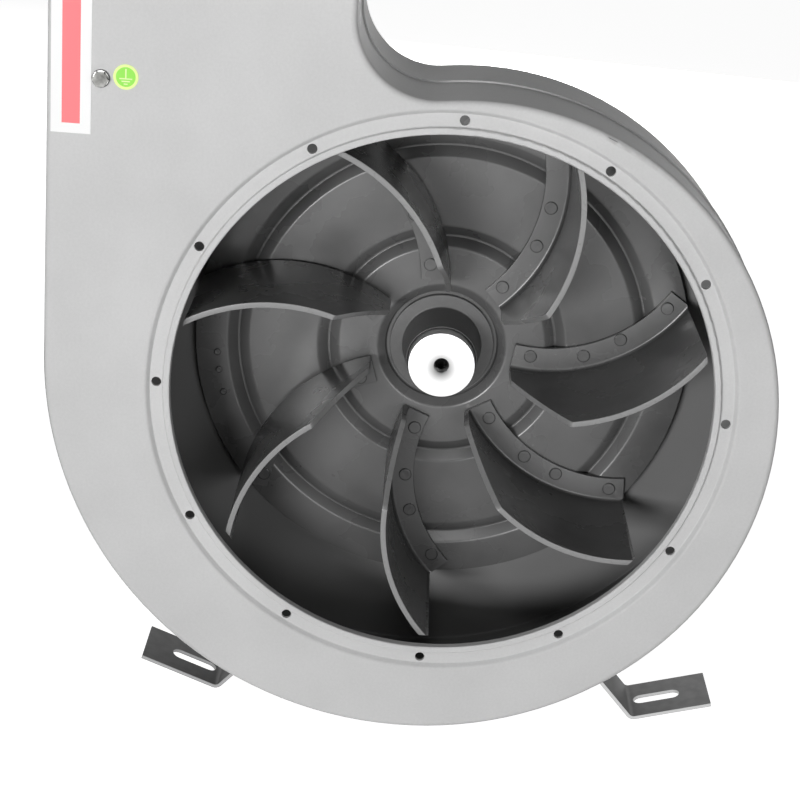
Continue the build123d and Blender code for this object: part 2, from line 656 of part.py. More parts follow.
def front_shield():
    """Flange, spigot and ribbed shield in one casting, with the front bearing's seat."""
    y_seat = Y_MOTOR + BEARING_FRONT_INSET
    y_seat_end = y_seat + BEARING_FRONT_WIDTH
    y_flange = Y_MOTOR + MOTOR_FLANGE
    seat = BEARING_FRONT_R + FIT
    shaft_room = FRONT_SEAT_R + SHAFT_ROOM
    y_hollow = y_flange - SHIELD_WALL / 2
    inner = HOUSING_BORE_R - SHIELD_WALL / 2
    body = turned((shaft_room, Y_MOTOR - SPIGOT), (SPIGOT_R, Y_MOTOR - SPIGOT), (SPIGOT_R, Y_MOTOR),
                  (MOTOR_FLANGE_R, Y_MOTOR), (MOTOR_FLANGE_R, y_flange),
                  (HOUSING_R + SHIELD_WALL, y_flange), (SHIELD_R - SHIELD_WALL, y_flange + SHIELD_SHOULDER),
                  (SHIELD_R, Y_HOUSING - SHIELD_SHOULDER), (SHIELD_R, Y_HOUSING), (inner, Y_HOUSING),
                  (inner, y_hollow), (seat + BEARING_WALL, y_hollow), (seat + BEARING_WALL, y_seat_end),
                  (seat, y_seat_end), (seat, y_seat), (shaft_room, y_seat))
    rib = Pos(0, y_flange, SHIELD_R - SHIELD_WALL) * Box(
        SHIELD_RIB, FRONT_SHIELD_DEPTH - MOTOR_FLANGE, SHIELD_WALL * 4,
        align=(Align.CENTER, Align.MIN, Align.MIN))
    rib = chamfer(rib.edges().filter_by(Axis.X).sort_by_distance(
        (0, Y_HOUSING, MOTOR_FLANGE_R))[0], SHIELD_WALL * 2.4)
    body += around(rib, SHIELD_RIB_COUNT, MOTOR_BOLT_ANGLE / 2)
    body -= tube(seat + BEARING_WALL, inner, y_hollow, Y_HOUSING + CUT_PAST)
    return body - motor_bolt_holes(Y_MOTOR, y_flange)


def motor_housing():
    """Cast tube with cooling fins along it and a flat pad for the terminal box."""
    fin = Pos(0, (HOUSING_R + FIN_R) / 2 - SHEET / 2) * Rectangle(FIN_WIDTH, FIN_R - HOUSING_R + SHEET)
    section = Circle(HOUSING_R)
    for i in range(FIN_COUNT):
        section += Rot(0, 0, (i + 0.5) * 360.0 / FIN_COUNT) * fin
    body = slab(section, Y_HOUSING, Y_HOUSING_END)
    pad = Pos(0, box_y(), 0) * Box(BOX_PAD_WIDTH, BOX_LENGTH, BOX_Z,
                                   align=(Align.CENTER, Align.CENTER, Align.MIN))
    return body + pad - rod(HOUSING_BORE_R, Y_HOUSING - CUT_PAST, Y_HOUSING_END + CUT_PAST)


def stator_core():
    y0 = Y_HOUSING + (HOUSING_LENGTH - STATOR_LENGTH) / 2
    return tube(STATOR_BORE_R, HOUSING_BORE_R - FIT, y0, y0 + STATOR_LENGTH)


def rotor_core():
    y0 = Y_HOUSING + (HOUSING_LENGTH - ROTOR_LENGTH) / 2
    return tube(SHAFT_BODY_R + FIT, STATOR_BORE_R - AIR_GAP, y0, y0 + ROTOR_LENGTH)


def rear_shield():
    """Disc that closes the housing and holds the rear bearing."""
    seat = BEARING_REAR_R + FIT
    y_seat = Y_SHIELD_END - BEARING_REAR_WIDTH
    y_ledge = y_seat - SEAT_LEDGE
    y_lip = Y_HOUSING_END - REAR_SPIGOT
    body = turned((SHAFT_BODY_R + SHAFT_ROOM, y_ledge), (SHAFT_BODY_R + SHAFT_ROOM, y_lip),
                  (HOUSING_BORE_R - FIT, y_lip), (HOUSING_BORE_R - FIT, Y_HOUSING_END),
                  (SHIELD_R, Y_HOUSING_END), (SHIELD_R, Y_HOUSING_END + SHIELD_WALL),
                  (seat + BEARING_WALL * 2, Y_HOUSING_END + SHIELD_WALL),
                  (seat + BEARING_WALL, Y_SHIELD_END), (seat, Y_SHIELD_END), (seat, y_seat),
                  (REAR_SEAT_R + SHIELD_WALL, y_seat), (REAR_SEAT_R + SHIELD_WALL, y_ledge))
    reach = COWL_R - COWL_SHEET - COWL_LUG_GAP
    lug = Pos(0, Y_HOUSING_END, SHIELD_R - SHIELD_WALL) * Box(
        COWL_LUG_WIDTH, COWL_LUG, reach - SHIELD_R + SHIELD_WALL, align=(Align.CENTER, Align.MIN, Align.MIN))
    body += around(lug, COWL_SCREW_COUNT, COWL_SCREW_ANGLE)
    return body - around(cowl_screw_hole(), COWL_SCREW_COUNT, COWL_SCREW_ANGLE)


def cooling_fan():
    """Radial fan with straight vanes, pressed on the shaft's rear end."""
    body = tube(FAN_SEAT_R + FIT, FAN_HUB_R, Y_FAN, Y_FAN + FAN_HUB)
    body += tube(FAN_HUB_R - FAN_ROOT, FAN_R, Y_FAN, Y_FAN + FAN_DISC)
    vane = Pos(0, Y_FAN, FAN_HUB_R - FAN_ROOT) * Box(
        FAN_BLADE, FAN_HUB, FAN_R - FAN_HUB_R + FAN_ROOT, align=(Align.CENTER, Align.MIN, Align.MIN))
    return body + around(vane, FAN_BLADES)


def fan_cowl():
    """Deep-drawn cap over the cooling fan, slotted at its end, with lugs to the housing."""
    y_end = Y_COWL + COWL_DEPTH
    c = COWL_CORNER_R
    r_in = COWL_R - COWL_SHEET
    body = turned((r_in, Y_COWL), (COWL_R, Y_COWL), (COWL_R, y_end - c),
                  (COWL_R - c * 0.3, y_end - c * 0.3), (COWL_R - c, y_end), (0, y_end),
                  (0, y_end - COWL_SHEET), (COWL_R - c, y_end - COWL_SHEET),
                  (r_in - c * 0.3 + COWL_SHEET * 0.3, y_end - c * 0.3 - COWL_SHEET * 0.7), (r_in, y_end - c))
    slot = Pos(0, y_end, (COWL_SLOT_START + COWL_SLOT_END) / 2) * Box(
        COWL_SLOT_WIDTH, 4 * COWL_SHEET, COWL_SLOT_END - COWL_SLOT_START)
    body -= around(slot, COWL_SLOT_COUNT)
    return body - around(cowl_screw_hole(), COWL_SCREW_COUNT, COWL_SCREW_ANGLE)


def cowl_screw_hole():
    y = Y_HOUSING_END + COWL_LUG / 2
    z = COWL_R - COWL_SCREW_LENGTH
    return Pos(0, y, z) * Cylinder(COWL_SCREW_R + RUNNING_GAP, COWL_SCREW_LENGTH + CUT_PAST,
                                   align=(Align.CENTER, Align.CENTER, Align.MIN))


def terminal_box():
    """Open cast box on the housing's pad, with a boss in each corner for the lid."""
    outer = extrude(RectangleRounded(BOX_WIDTH, BOX_LENGTH, BOX_CORNER_R), BOX_HEIGHT)
    inner = Pos(0, 0, BOX_WALL) * extrude(
        RectangleRounded(BOX_WIDTH - 2 * BOX_WALL, BOX_LENGTH - 2 * BOX_WALL,
                         BOX_CORNER_R - BOX_WALL / 2), BOX_HEIGHT)
    box = outer - inner
    boss = Pos(0, 0, BOX_WALL / 2) * extrude(Circle(LID_BOSS_R), BOX_HEIGHT - BOX_WALL / 2)
    thread = extrude(Circle(LID_SCREW_R + RUNNING_GAP), LID_SCREW_LENGTH)
    for place in lid_screw_places():
        box += place * boss
    for place in lid_screw_places():
        box -= place * Pos(0, 0, BOX_HEIGHT - LID_SCREW_LENGTH + LID_HEIGHT / 2) * thread
    box -= Pos(BOX_WIDTH / 2 - BOX_WALL / 2, 0, BOX_HEIGHT / 2) * Rot(0, 90, 0) * Cylinder(
        GLAND_THREAD_R + RUNNING_GAP, 3 * BOX_WALL)
    return Pos(0, box_y(), BOX_Z) * box


def box_y():
    return Y_HOUSING + HOUSING_LENGTH / 2


def lid_screw_places():
    return list(GridLocations(BOX_WIDTH - 2 * LID_SCREW_INSET, BOX_LENGTH - 2 * LID_SCREW_INSET, 2, 2))


def terminal_lid():
    lid = extrude(RectangleRounded(BOX_WIDTH, BOX_LENGTH, BOX_CORNER_R), LID_HEIGHT)
    lid = chamfer(lid.edges().group_by(Axis.Z)[-1], BOX_WALL / 2)
    hollow = extrude(RectangleRounded(BOX_WIDTH - 4 * LID_SCREW_INSET, BOX_LENGTH - 4 * LID_SCREW_INSET,
                                      BOX_CORNER_R), LID_HEIGHT - BOX_WALL)
    lid -= hollow
    hole = extrude(Circle(LID_SCREW_R + RUNNING_GAP), LID_HEIGHT)
    for place in lid_screw_places():
        lid -= place * hole
    return Pos(0, box_y(), BOX_Z + BOX_HEIGHT) * lid


def lid_screws():
    one = Cylinder(LID_SCREW_HEAD_R, LID_SCREW_HEAD, align=(Align.CENTER, Align.CENTER, Align.MIN))
    one += Cylinder(LID_SCREW_R, LID_SCREW_LENGTH, align=(Align.CENTER, Align.CENTER, Align.MAX))
    top = BOX_Z + BOX_HEIGHT + LID_HEIGHT
    return [Pos(0, box_y(), top) * place * one for place in lid_screw_places()]


def cable_gland():
    """Hexagon, cap and thread of the gland in the box's side, bored for a cord."""
    along = Plane.YZ
    body = extrude(along * RegularPolygon(GLAND_FLATS / 2, 6, major_radius=False), GLAND_FLANGE)
    cap = extrude(along * Circle(GLAND_CAP_R), GLAND_CAP)
    body += chamfer(cap.edges().group_by(Axis.X)[-1], BOX_WALL)
    body += extrude(along * Circle(GLAND_THREAD_R), -GLAND_THREAD)
    body -= Pos(GLAND_CAP / 2, 0, 0) * Rot(0, 90, 0) * Cylinder(GLAND_BORE_R, 4 * GLAND_CAP)
    return Pos(BOX_WIDTH / 2, box_y(), BOX_Z + BOX_HEIGHT / 2) * body


def cowl_screws():
    one = Cylinder(COWL_SCREW_HEAD_R, COWL_SCREW_HEAD, align=(Align.CENTER, Align.CENTER, Align.MIN))
    one += Cylinder(COWL_SCREW_R, COWL_SCREW_LENGTH, align=(Align.CENTER, Align.CENTER, Align.MAX))
    y = Y_HOUSING_END + COWL_LUG / 2
    return around(Pos(0, y, COWL_R) * one, COWL_SCREW_COUNT, COWL_SCREW_ANGLE)


def bearing(shaft_r, outer_r, y0, width):
    return tube(shaft_r + RUNNING_GAP, outer_r, y0, y0 + width)


def earth_place():
    return on_duct(EARTH_INSET, EARTH_DROP)


def earth_screw():
    y_seat = Y_FACE - EARTH_WASHER
    one = hexagon(EARTH_FLATS, y_seat - EARTH_HEAD, y_seat)
    one += rod(EARTH_SCREW_R, y_seat, y_seat + EARTH_SCREW_LENGTH)
    return earth_place() * one


def earth_washer():
    return earth_place() * tube(EARTH_HOLE_R, EARTH_WASHER_R, Y_FACE - EARTH_WASHER, Y_FACE)


def earth_nut():
    y = Y_FACE + SHEET
    nut = hexagon(EARTH_FLATS, y, y + EARTH_NUT)
    return earth_place() * (nut - rod(EARTH_SCREW_R + RUNNING_GAP, y - CUT_PAST, y + EARTH_NUT + CUT_PAST))


def earth_sticker():
    return on_duct(STICKER_INSET, STICKER_DROP) * rod(STICKER_R, Y_FACE - STICKER, Y_FACE)


def label():
    film = Box(LABEL_WIDTH, LABEL, LABEL_HEIGHT, align=(Align.CENTER, Align.MAX, Align.CENTER))
    return on_duct(LABEL_INSET, LABEL_DROP) * Pos(0, Y_FACE, 0) * film


def save(name, shape):
    solids = shape if isinstance(shape, list) else [shape]
    parts = [solid for item in solids for solid in item.solids()]
    export_step(parts[0] if len(parts) == 1 else Compound(parts), "parts/" + name + ".step")


os.makedirs("parts", exist_ok=True)
save("scroll_front", scroll_front())
save("scroll_rear", scroll_rear())
save("outlet_flange", outlet_flange())
save("foot_left", foot(-1, FOOT_LEFT_TILT))
save("foot_right", foot(1, FOOT_RIGHT_TILT))
save("earth_screw", earth_screw())
save("earth_washer", earth_washer())
save("earth_nut", earth_nut())
save("earth_sticker", earth_sticker())
save("label", label())
save("motor_plate", motor_plate())
save("motor_bolts", motor_bolts())
save("motor_washers", motor_washers())
save("motor_nuts", motor_nuts())
save("motor_front_shield", front_shield())
save("motor_housing", motor_housing())
save("motor_rear_shield", rear_shield())
save("stator_core", stator_core())
save("bearing_front", bearing(FRONT_SEAT_R, BEARING_FRONT_R, Y_MOTOR + BEARING_FRONT_INSET,
                              BEARING_FRONT_WIDTH))
save("bearing_rear", bearing(REAR_SEAT_R, BEARING_REAR_R, Y_SHIELD_END - BEARING_REAR_WIDTH,
                             BEARING_REAR_WIDTH))
save("fan_cowl", fan_cowl())
save("cowl_screws", cowl_screws())
save("terminal_box", terminal_box())
save("terminal_lid", terminal_lid())
save("lid_screws", lid_screws())
save("cable_gland", cable_gland())
save("wheel_back_plate", back_plate())
one_blade = blade()
for number in range(BLADE_COUNT):
    save("blade_" + str(number + 1), blade_frame(number) * one_blade)
save("blade_rivets", blade_rivets())
save("balance_rivets", balance_rivets())
save("wheel_hub", hub())
save("hub_sleeve", hub_sleeve())
save("shaft", shaft())
save("shaft_key", key_shape(0))
save("rotor_core", rotor_core())
save("cooling_fan", cooling_fan())
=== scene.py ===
# %% [markdown]
# # A chip extraction fan
#
# A radial fan that draws chips and dust out of a machine: a grey sheet-steel scroll casing, an
# open paddle wheel of seven curved blades behind a round inlet, and an electric motor bolted on
# at the back. Its shape is already solid geometry. This script gives each piece the finish that
# the real one has, remakes the wheel with rolled sheet edges, and sets up the camera and light.

# %% Load the solid model
import bpy
import bmesh
import math
from mathutils import Matrix, Vector


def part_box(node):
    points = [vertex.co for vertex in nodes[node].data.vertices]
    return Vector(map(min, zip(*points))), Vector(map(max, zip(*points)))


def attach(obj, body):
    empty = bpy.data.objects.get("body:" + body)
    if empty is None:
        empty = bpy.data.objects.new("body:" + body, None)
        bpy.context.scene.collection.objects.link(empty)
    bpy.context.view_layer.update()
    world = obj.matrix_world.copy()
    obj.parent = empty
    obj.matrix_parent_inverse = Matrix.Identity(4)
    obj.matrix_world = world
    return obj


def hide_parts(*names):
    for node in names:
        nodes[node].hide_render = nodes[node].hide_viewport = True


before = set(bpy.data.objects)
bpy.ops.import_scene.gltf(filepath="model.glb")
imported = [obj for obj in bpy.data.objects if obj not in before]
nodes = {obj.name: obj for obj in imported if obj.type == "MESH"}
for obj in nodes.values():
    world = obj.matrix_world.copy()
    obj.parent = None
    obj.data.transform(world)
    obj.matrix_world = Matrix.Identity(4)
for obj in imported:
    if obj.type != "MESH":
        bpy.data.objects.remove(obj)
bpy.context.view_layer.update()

# %% [markdown]
# Every colour below is written as the hex value that a paint chart or a picture would give. The
# renderer works in linear light, so one function converts them. A second one adds a shader or
# geometry node, with its settings and its links, so that each node tree reads as a short list.
# The rest stand for what several finishes share.

# %% Colour and node helpers
MM = 0.001


def linear(hex_colour):
    parts = [int(hex_colour[i:i + 2], 16) / 255 for i in (1, 3, 5)]
    return [c / 12.92 if c <= 0.04045 else ((c + 0.055) / 1.055) ** 2.4 for c in parts] + [1.0]


def add(tree, kind, inputs=None, **settings):
    """Adds a node. An input is a plain value, a socket, or a node whose first output is meant."""
    made = tree.nodes.new(kind)
    for name, value in settings.items():
        setattr(made, name, value)
    for name, value in (inputs or {}).items():
        if isinstance(value, bpy.types.Node):
            value = value.outputs[0]
        if isinstance(value, bpy.types.NodeSocket):
            tree.links.new(value, made.inputs[name])
        else:
            made.inputs[name].default_value = value
    return made


def new_finish(name):
    """An empty material, its tree, and the piece's own coordinates in metres."""
    finish = bpy.data.materials.new(name)
    finish.use_nodes = True
    finish.node_tree.nodes.clear()
    place = add(finish.node_tree, "ShaderNodeTexCoord").outputs["Object"]
    return finish, finish.node_tree, place


def close_finish(tree, shader):
    add(tree, "ShaderNodeOutputMaterial", {"Surface": shader})


def two_tone(tree, factor, low, high, start, end):
    """A colour that runs from one hex value to another between two values of a factor."""
    ramp = add(tree, "ShaderNodeValToRGB", {"Fac": factor})
    for stop, position, colour in zip(ramp.color_ramp.elements, (start, end), (low, high)):
        stop.position = position
        stop.color = linear(colour)
    return ramp.outputs["Color"]


def laid_over(tree, tone, *layers):
    """A tone with each layer's hex colour over it in turn, by the layer's share."""
    for share, colour in layers:
        tone = add(tree, "ShaderNodeMix", {"Factor": share, "A": tone, "B": linear(colour)},
                   data_type="RGBA").outputs["Result"]
    return tone


def grained(tree, place, size, detail, strength, depth, **more):
    """Noise with grains of a size in millimetres, and a bump of a depth that it drives."""
    noise = add(tree, "ShaderNodeTexNoise", {"Vector": place, "Scale": 1 / (size * MM),
                                             "Detail": detail, **more}).outputs["Fac"]
    return noise, add(tree, "ShaderNodeBump", {"Height": noise, "Strength": strength,
                                               "Distance": depth * MM})


# %% [markdown]
# ## Masks
#
# A finish often changes at a line that no seam of the mesh follows, such as the edge of a dusty
# patch. A mask is a number that is 1 on one side of the line and 0 on the other, worked out
# from the place in metres. Painting it by hand would need a picture, and this needs a rule.

# %% Masks by place
def from_axis(tree, place):
    """Distance from the shaft's axis, in metres."""
    flat = add(tree, "ShaderNodeVectorMath", {0: place, 1: (1.0, 0.0, 1.0)}, operation="MULTIPLY")
    return add(tree, "ShaderNodeVectorMath", {0: flat}, operation="LENGTH").outputs["Value"]


def holds(tree, *tests):
    """1 where every test of (value, comparison, bound) holds, else 0."""
    result = 1.0
    for value, comparison, bound in tests:
        test = add(tree, "ShaderNodeMath", {0: value, 1: bound}, operation=comparison)
        result = add(tree, "ShaderNodeMath", {0: test, 1: result}, operation="MULTIPLY")
    return result


# %% [markdown]
# ## Powder-coated casing
#
# The casing is pressed from 2 mm steel sheet and powder-coated in a light satin grey. Powder
# flows out into a fine orange peel, with grains of about a millimetre that show as a faint
# sparkle where the light grazes. A noise texture sized from that grain drives the bump, and a
# much larger, weaker one varies the tone as thicker and thinner powder does.
#
# The inner faces are painted darker: painted shade, for the light that falls off inside the scroll.
# One mask finds them: they lie inside the spiral, whose radius grows by a fixed step per degree,
# or inside the duct, and between the front and the rear sheet.

# %% The casing's inner faces
SPIRAL_TOP_R, SPIRAL_GROWTH, SPIRAL_START, SHEET = 160.2, 0.182, -4.0, 2.0
DUCT_LEFT_X, DUCT_RIGHT_X, DUCT_SLOPE = -209.3, -56.5, 0.007
CUTWATER, CUTWATER_R = Vector((-16.5, 0.0, 198.7)) * MM, 40.0
RING_R, RING_BACK_Y, FRONT_SHEET_Y, REAR_SHEET_Y = 158.0, 1.9, -1.7, 103.3


def spiral_wall(tree, across, up):
    """Radius of the spiral sheet's inner face at a place's own clock angle."""
    turn = add(tree, "ShaderNodeMath", {0: across, 1: up}, operation="ARCTAN2")
    clock = add(tree, "ShaderNodeMath", {0: turn, 1: 180 / math.pi}, operation="MULTIPLY")
    before_start = holds(tree, (clock, "LESS_THAN", SPIRAL_START))
    run = add(tree, "ShaderNodeMath", {0: before_start, 1: 360.0, 2: clock},
              operation="MULTIPLY_ADD")
    return add(tree, "ShaderNodeMath",
               {0: run, 1: SPIRAL_GROWTH * MM, 2: (SPIRAL_TOP_R - SHEET / 2) * MM},
               operation="MULTIPLY_ADD")


def inner_faces(tree, place):
    """1 on the casing's inner faces: inside the spiral or the duct, and between the two sheets."""
    axes = add(tree, "ShaderNodeSeparateXYZ", {0: place}).outputs
    away = from_axis(tree, place)
    from_cutwater = add(tree, "ShaderNodeVectorMath", {0: place, 1: CUTWATER}, operation="SUBTRACT")
    in_spiral = holds(
        tree, (away, "LESS_THAN", spiral_wall(tree, axes["X"], axes["Z"])),
        (from_axis(tree, from_cutwater), "GREATER_THAN", (CUTWATER_R + SHEET / 2) * MM),
        (axes["Z"], "LESS_THAN", CUTWATER.z))
    upright = add(tree, "ShaderNodeMath", {0: axes["Z"], 1: -DUCT_SLOPE, 2: axes["X"]},
                  operation="MULTIPLY_ADD")
    in_duct = holds(
        tree, (upright, "GREATER_THAN", (DUCT_LEFT_X + SHEET / 2) * MM),
        (axes["X"], "LESS_THAN", (DUCT_RIGHT_X - SHEET / 2) * MM),
        (axes["Z"], "GREATER_THAN", 0.0))
    behind_ring = holds(tree, (axes["Y"], "GREATER_THAN", RING_BACK_Y * MM))
    behind_front = holds(tree, (away, "GREATER_THAN", RING_R * MM),
                         (axes["Y"], "GREATER_THAN", FRONT_SHEET_Y * MM))
    hollow = add(tree, "ShaderNodeMath", {0: in_spiral, 1: in_duct}, operation="MAXIMUM")
    deep = add(tree, "ShaderNodeMath", {0: behind_ring, 1: behind_front}, operation="MAXIMUM")
    return holds(tree, (hollow, "GREATER_THAN", 0.5), (deep, "GREATER_THAN", 0.5),
                 (axes["Y"], "LESS_THAN", REAR_SHEET_Y * MM))


# %% Powder coat
def coated(name, light, dark, grain_mm, rough, gloss=0.5, peel_depth=0.35, inner=None):
    """Paint with an orange peel, in another colour on the casing's inner faces if one is given."""
    finish, tree, place = new_finish(name)
    peel, bump = grained(tree, place, grain_mm, 2.0, peel_depth, 0.12, Roughness=0.55)
    cloud = add(tree, "ShaderNodeTexNoise",
                {"Vector": place, "Scale": 1 / (60 * MM), "Detail": 3.0})
    both = add(tree, "ShaderNodeMix", {"Factor": 0.35, "A": cloud.outputs["Fac"], "B": peel},
               data_type="FLOAT")
    tone = two_tone(tree, both, dark, light, 0.35, 0.65)
    # The colour given as inner is painted shade on the casing's inner faces.
    if inner:
        tone = laid_over(tree, tone, (inner_faces(tree, place), inner))
    coat = add(tree, "ShaderNodeBsdfPrincipled", {
        "Base Color": tone, "Roughness": rough, "Specular IOR Level": gloss, "Normal": bump})
    close_finish(tree, coat)
    return finish


# The inner colour, #828282, is painted shade inside the scroll.
casing_grey = coated("powder_coat_light_grey", "#cfcfcf", "#c6c6c6", 1.4, 0.45, gloss=0.08,
                     peel_depth=0.25, inner="#828282")
print("casing finish:", casing_grey.name)

# %% [markdown]
# ## Hub, motor and cowl paints
#
# The cast hub, the motor's castings and its drawn cowl are enamelled too. Cast metal is coarser
# under its paint than rolled sheet, so the same coat gets a larger grain and a stronger bump.

# %% Paint on castings and on drawn sheet
hub_grey = coated("enamel_on_cast_iron", "#5b5b5b", "#505050", 3.0, 0.42)
motor_grey = coated("enamel_on_cast_aluminium", "#6b7074", "#60666a", 2.6, 0.5, peel_depth=0.6)
cowl_grey = coated("enamel_on_drawn_sheet", "#666b6f", "#5f6468", 1.8, 0.42)

# %% [markdown]
# ## Wheel enamel
#
# The paddle wheel is enamelled in a dark satin grey after it is riveted, so plate, blades and
# rivets share one skin. The chips that fly through it polish the blades' front edges bright.
# The blades carry an attribute, worn, that is 1 on that edge and fades to 0 just behind it. The
# finish mixes a brighter enamel in by it, broken up by noise so that it looks rubbed. A second
# attribute, painted_shade, is 1 in the bends and round the rivets' heads, and less in the grooves.
# It is painted shade, where the light falls off into these creases, and darkens the enamel there.

# %% Wheel enamel with rubbed edges
# Colour and share of the painted shade in the wheel's bends, grooves and round the rivets' heads.
SHADE_COLOUR, SHADE_SHARE = "#1e1e1e", 0.8


def rubbed_enamel(name, light, dark, rubbed):
    finish, tree, place = new_finish(name)
    cloud = add(tree, "ShaderNodeTexNoise",
                {"Vector": place, "Scale": 1 / (45 * MM), "Detail": 4.0})
    scuff, bump = grained(tree, place, 2.2, 3.0, 0.15, 0.06)
    tone = two_tone(tree, cloud.outputs["Fac"], dark, light, 0.36, 0.64)
    worn = add(tree, "ShaderNodeAttribute", attribute_name="worn")
    broken = add(tree, "ShaderNodeMath", {0: worn.outputs["Fac"], 1: scuff}, operation="ADD")
    amount = add(tree, "ShaderNodeMapRange", {"Value": broken, "From Min": 0.95, "From Max": 1.4})
    # The painted_shade attribute darkens the enamel in the creases: painted shade.
    painted_shade = add(tree, "ShaderNodeAttribute", attribute_name="painted_shade")
    shaded = add(tree, "ShaderNodeMath", {0: painted_shade.outputs["Fac"], 1: SHADE_SHARE},
                  operation="MULTIPLY")
    tone = laid_over(tree, tone, (shaded, SHADE_COLOUR), (amount, rubbed))
    rough = add(tree, "ShaderNodeMapRange", {"Value": cloud.outputs["Fac"], "From Min": 0.3,
                                             "From Max": 0.7, "To Min": 0.22, "To Max": 0.32})
    enamel = add(tree, "ShaderNodeBsdfPrincipled", {"Base Color": tone, "Roughness": rough,
                                                    "Normal": bump})
    close_finish(tree, enamel)
    return finish


wheel_grey = rubbed_enamel("satin_enamel_dark_grey", "#686868", "#5c5c5c", "#8a8a8a")
print("wheel finish:", wheel_grey.name)

# %% [markdown]
# ## Turned steel
#
# Bare steel shows how it was cut. The sleeve's end was faced on a lathe, which leaves fine
# rings round the shaft's axis. A sine of the distance from the axis makes the rings. A darker
# patch below the jacking hole is painted shade, for the darker reflection a turned face shows
# there, and inside the hole's radius the steel is painted near black, painted shade for the
# hole's depth. The colour of a metal is the tint of what it mirrors, so it stays near white.

# %% Turned steel
HOLE_R, HOLE_SHADE_COLOUR = 2.8, "#101010"
SHADE_DROP, SHADE_INNER_R, SHADE_OUTER_R = 1.8, 2.0, 11.0


def turned_metal(name, colour, ring_mm, rough, shade_tone):
    finish, tree, place = new_finish(name)
    away = from_axis(tree, place)
    turns = add(tree, "ShaderNodeMath", {0: away, 1: 2 * math.pi / (ring_mm * MM)},
                operation="MULTIPLY")
    wave = add(tree, "ShaderNodeMath", {0: turns}, operation="SINE")
    bump = add(tree, "ShaderNodeBump", {"Height": wave, "Strength": 0.2, "Distance": 0.02 * MM})
    # The painted shade's patch is centred below the axis.
    run = add(tree, "ShaderNodeVectorMath", {0: place, 1: (0.0, 0.0, SHADE_DROP * MM)},
              operation="ADD")
    patch = add(tree, "ShaderNodeMapRange", {"Value": from_axis(tree, run),
                                             "From Min": SHADE_INNER_R * MM,
                                             "From Max": SHADE_OUTER_R * MM})
    tone = two_tone(tree, patch, shade_tone, colour, 0.05, 0.95)
    # Inside the hole's radius the steel is painted near black: painted shade.
    hole_shade = holds(tree, (away, "LESS_THAN", HOLE_R * MM))
    tone = laid_over(tree, tone, (hole_shade, HOLE_SHADE_COLOUR))
    metal = add(tree, "ShaderNodeBsdfPrincipled", {
        "Base Color": tone, "Metallic": 1.0, "Roughness": rough, "Normal": bump})
    close_finish(tree, metal)
    return finish


sleeve_steel = turned_metal("turned_steel", "#fafafa", 0.9, 0.3, shade_tone="#5a5a5a")
shaft_steel = turned_metal("ground_steel", "#c9c9c6", 0.9, 0.25, shade_tone="#3a3a3a")

# %% [markdown]
# ## Zinc plate
#
# The feet and the fasteners are zinc-plated, which gives a slightly cloudy metal. The feet were
# sheared from a plated strip. Their front and rear edges and the walls of their slots are painted
# brighter, a painted highlight, and the right one's leg is painted darker up from its bend,
# painted shade. The earth washer's rim is painted dark, painted shade. Each of these is a mask
# with its own colour, laid over the cloudy zinc in turn. The right foot's zinc is lighter than
# the left one's, painted light.

# %% Masks on the feet and the washer
FOOT_CENTRE_X, FOOT_BEND_X, FOOT_BEND_Z = 5.5, 119.8, -198.2
LEFT_TILT, RIGHT_TILT = 20.4, 15.8
SLOT_FROM_BEND, SLOT_HALF, SLOT_R, EDGE_SKIN = 17.5, 9.0, 4.5, 0.1
LEG_SHADE_FROM, LEG_SHADE_RUN = 5.0, 15.0


# Painted highlight on a foot's edges and slot walls.
def cut_edges(node, side, tilt):
    """A mask of a foot's sheared front and rear edges and of its slot's wall."""
    def mask(tree, place):
        low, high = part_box(node)
        lean = math.radians(tilt)
        out = Vector((side * math.cos(lean), 0.0, math.sin(lean)))
        bend = Vector((FOOT_CENTRE_X + side * FOOT_BEND_X, 0.0, FOOT_BEND_Z))
        centre = (bend + out * SLOT_FROM_BEND) * MM
        centre.y = (low.y + high.y) / 2
        moved = add(tree, "ShaderNodeVectorMath", {0: place, 1: centre}, operation="SUBTRACT")
        along = add(tree, "ShaderNodeVectorMath", {0: moved, 1: out}, operation="DOT_PRODUCT")
        apart = add(tree, "ShaderNodeMath", {0: along.outputs["Value"]}, operation="ABSOLUTE")
        past = add(tree, "ShaderNodeMath", {0: apart, 1: SLOT_HALF * MM}, operation="SUBTRACT")
        past = add(tree, "ShaderNodeMath", {0: past, 1: 0.0}, operation="MAXIMUM")
        aside = add(tree, "ShaderNodeSeparateXYZ", {0: moved}).outputs["Y"]
        spot = add(tree, "ShaderNodeCombineXYZ", {"X": past, "Y": aside})
        reach = add(tree, "ShaderNodeVectorMath", {0: spot}, operation="LENGTH").outputs["Value"]
        off_middle = add(tree, "ShaderNodeMath", {0: aside}, operation="ABSOLUTE")
        slot_wall = holds(tree, (reach, "LESS_THAN", (SLOT_R + EDGE_SKIN) * MM))
        end = holds(tree, (off_middle, "GREATER_THAN", (high.y - low.y) / 2 - EDGE_SKIN * MM))
        return add(tree, "ShaderNodeMath", {0: slot_wall, 1: end}, operation="MAXIMUM")
    return mask


# Painted shade up the right foot's leg.
def foot_leg(side):
    """A share that is 0 on a foot's flange and runs to 1 up its leg."""
    def mask(tree, place):
        across = add(tree, "ShaderNodeSeparateXYZ", {0: place}).outputs["X"]
        start = FOOT_CENTRE_X + side * (FOOT_BEND_X + LEG_SHADE_FROM)
        return add(tree, "ShaderNodeMapRange", {"Value": across, "From Min": start * MM,
                                                "From Max": (start - side * LEG_SHADE_RUN) * MM})
    return mask


# Painted shade on the earth washer's rim.
def outer_rim(node, radius):
    """A mask of what lies further than a radius, in millimetres, from a node's middle."""
    def mask(tree, place):
        low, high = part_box(node)
        moved = add(tree, "ShaderNodeVectorMath", {0: place, 1: (low + high) / 2},
                    operation="SUBTRACT")
        return holds(tree, (from_axis(tree, moved), "GREATER_THAN", radius * MM))
    return mask


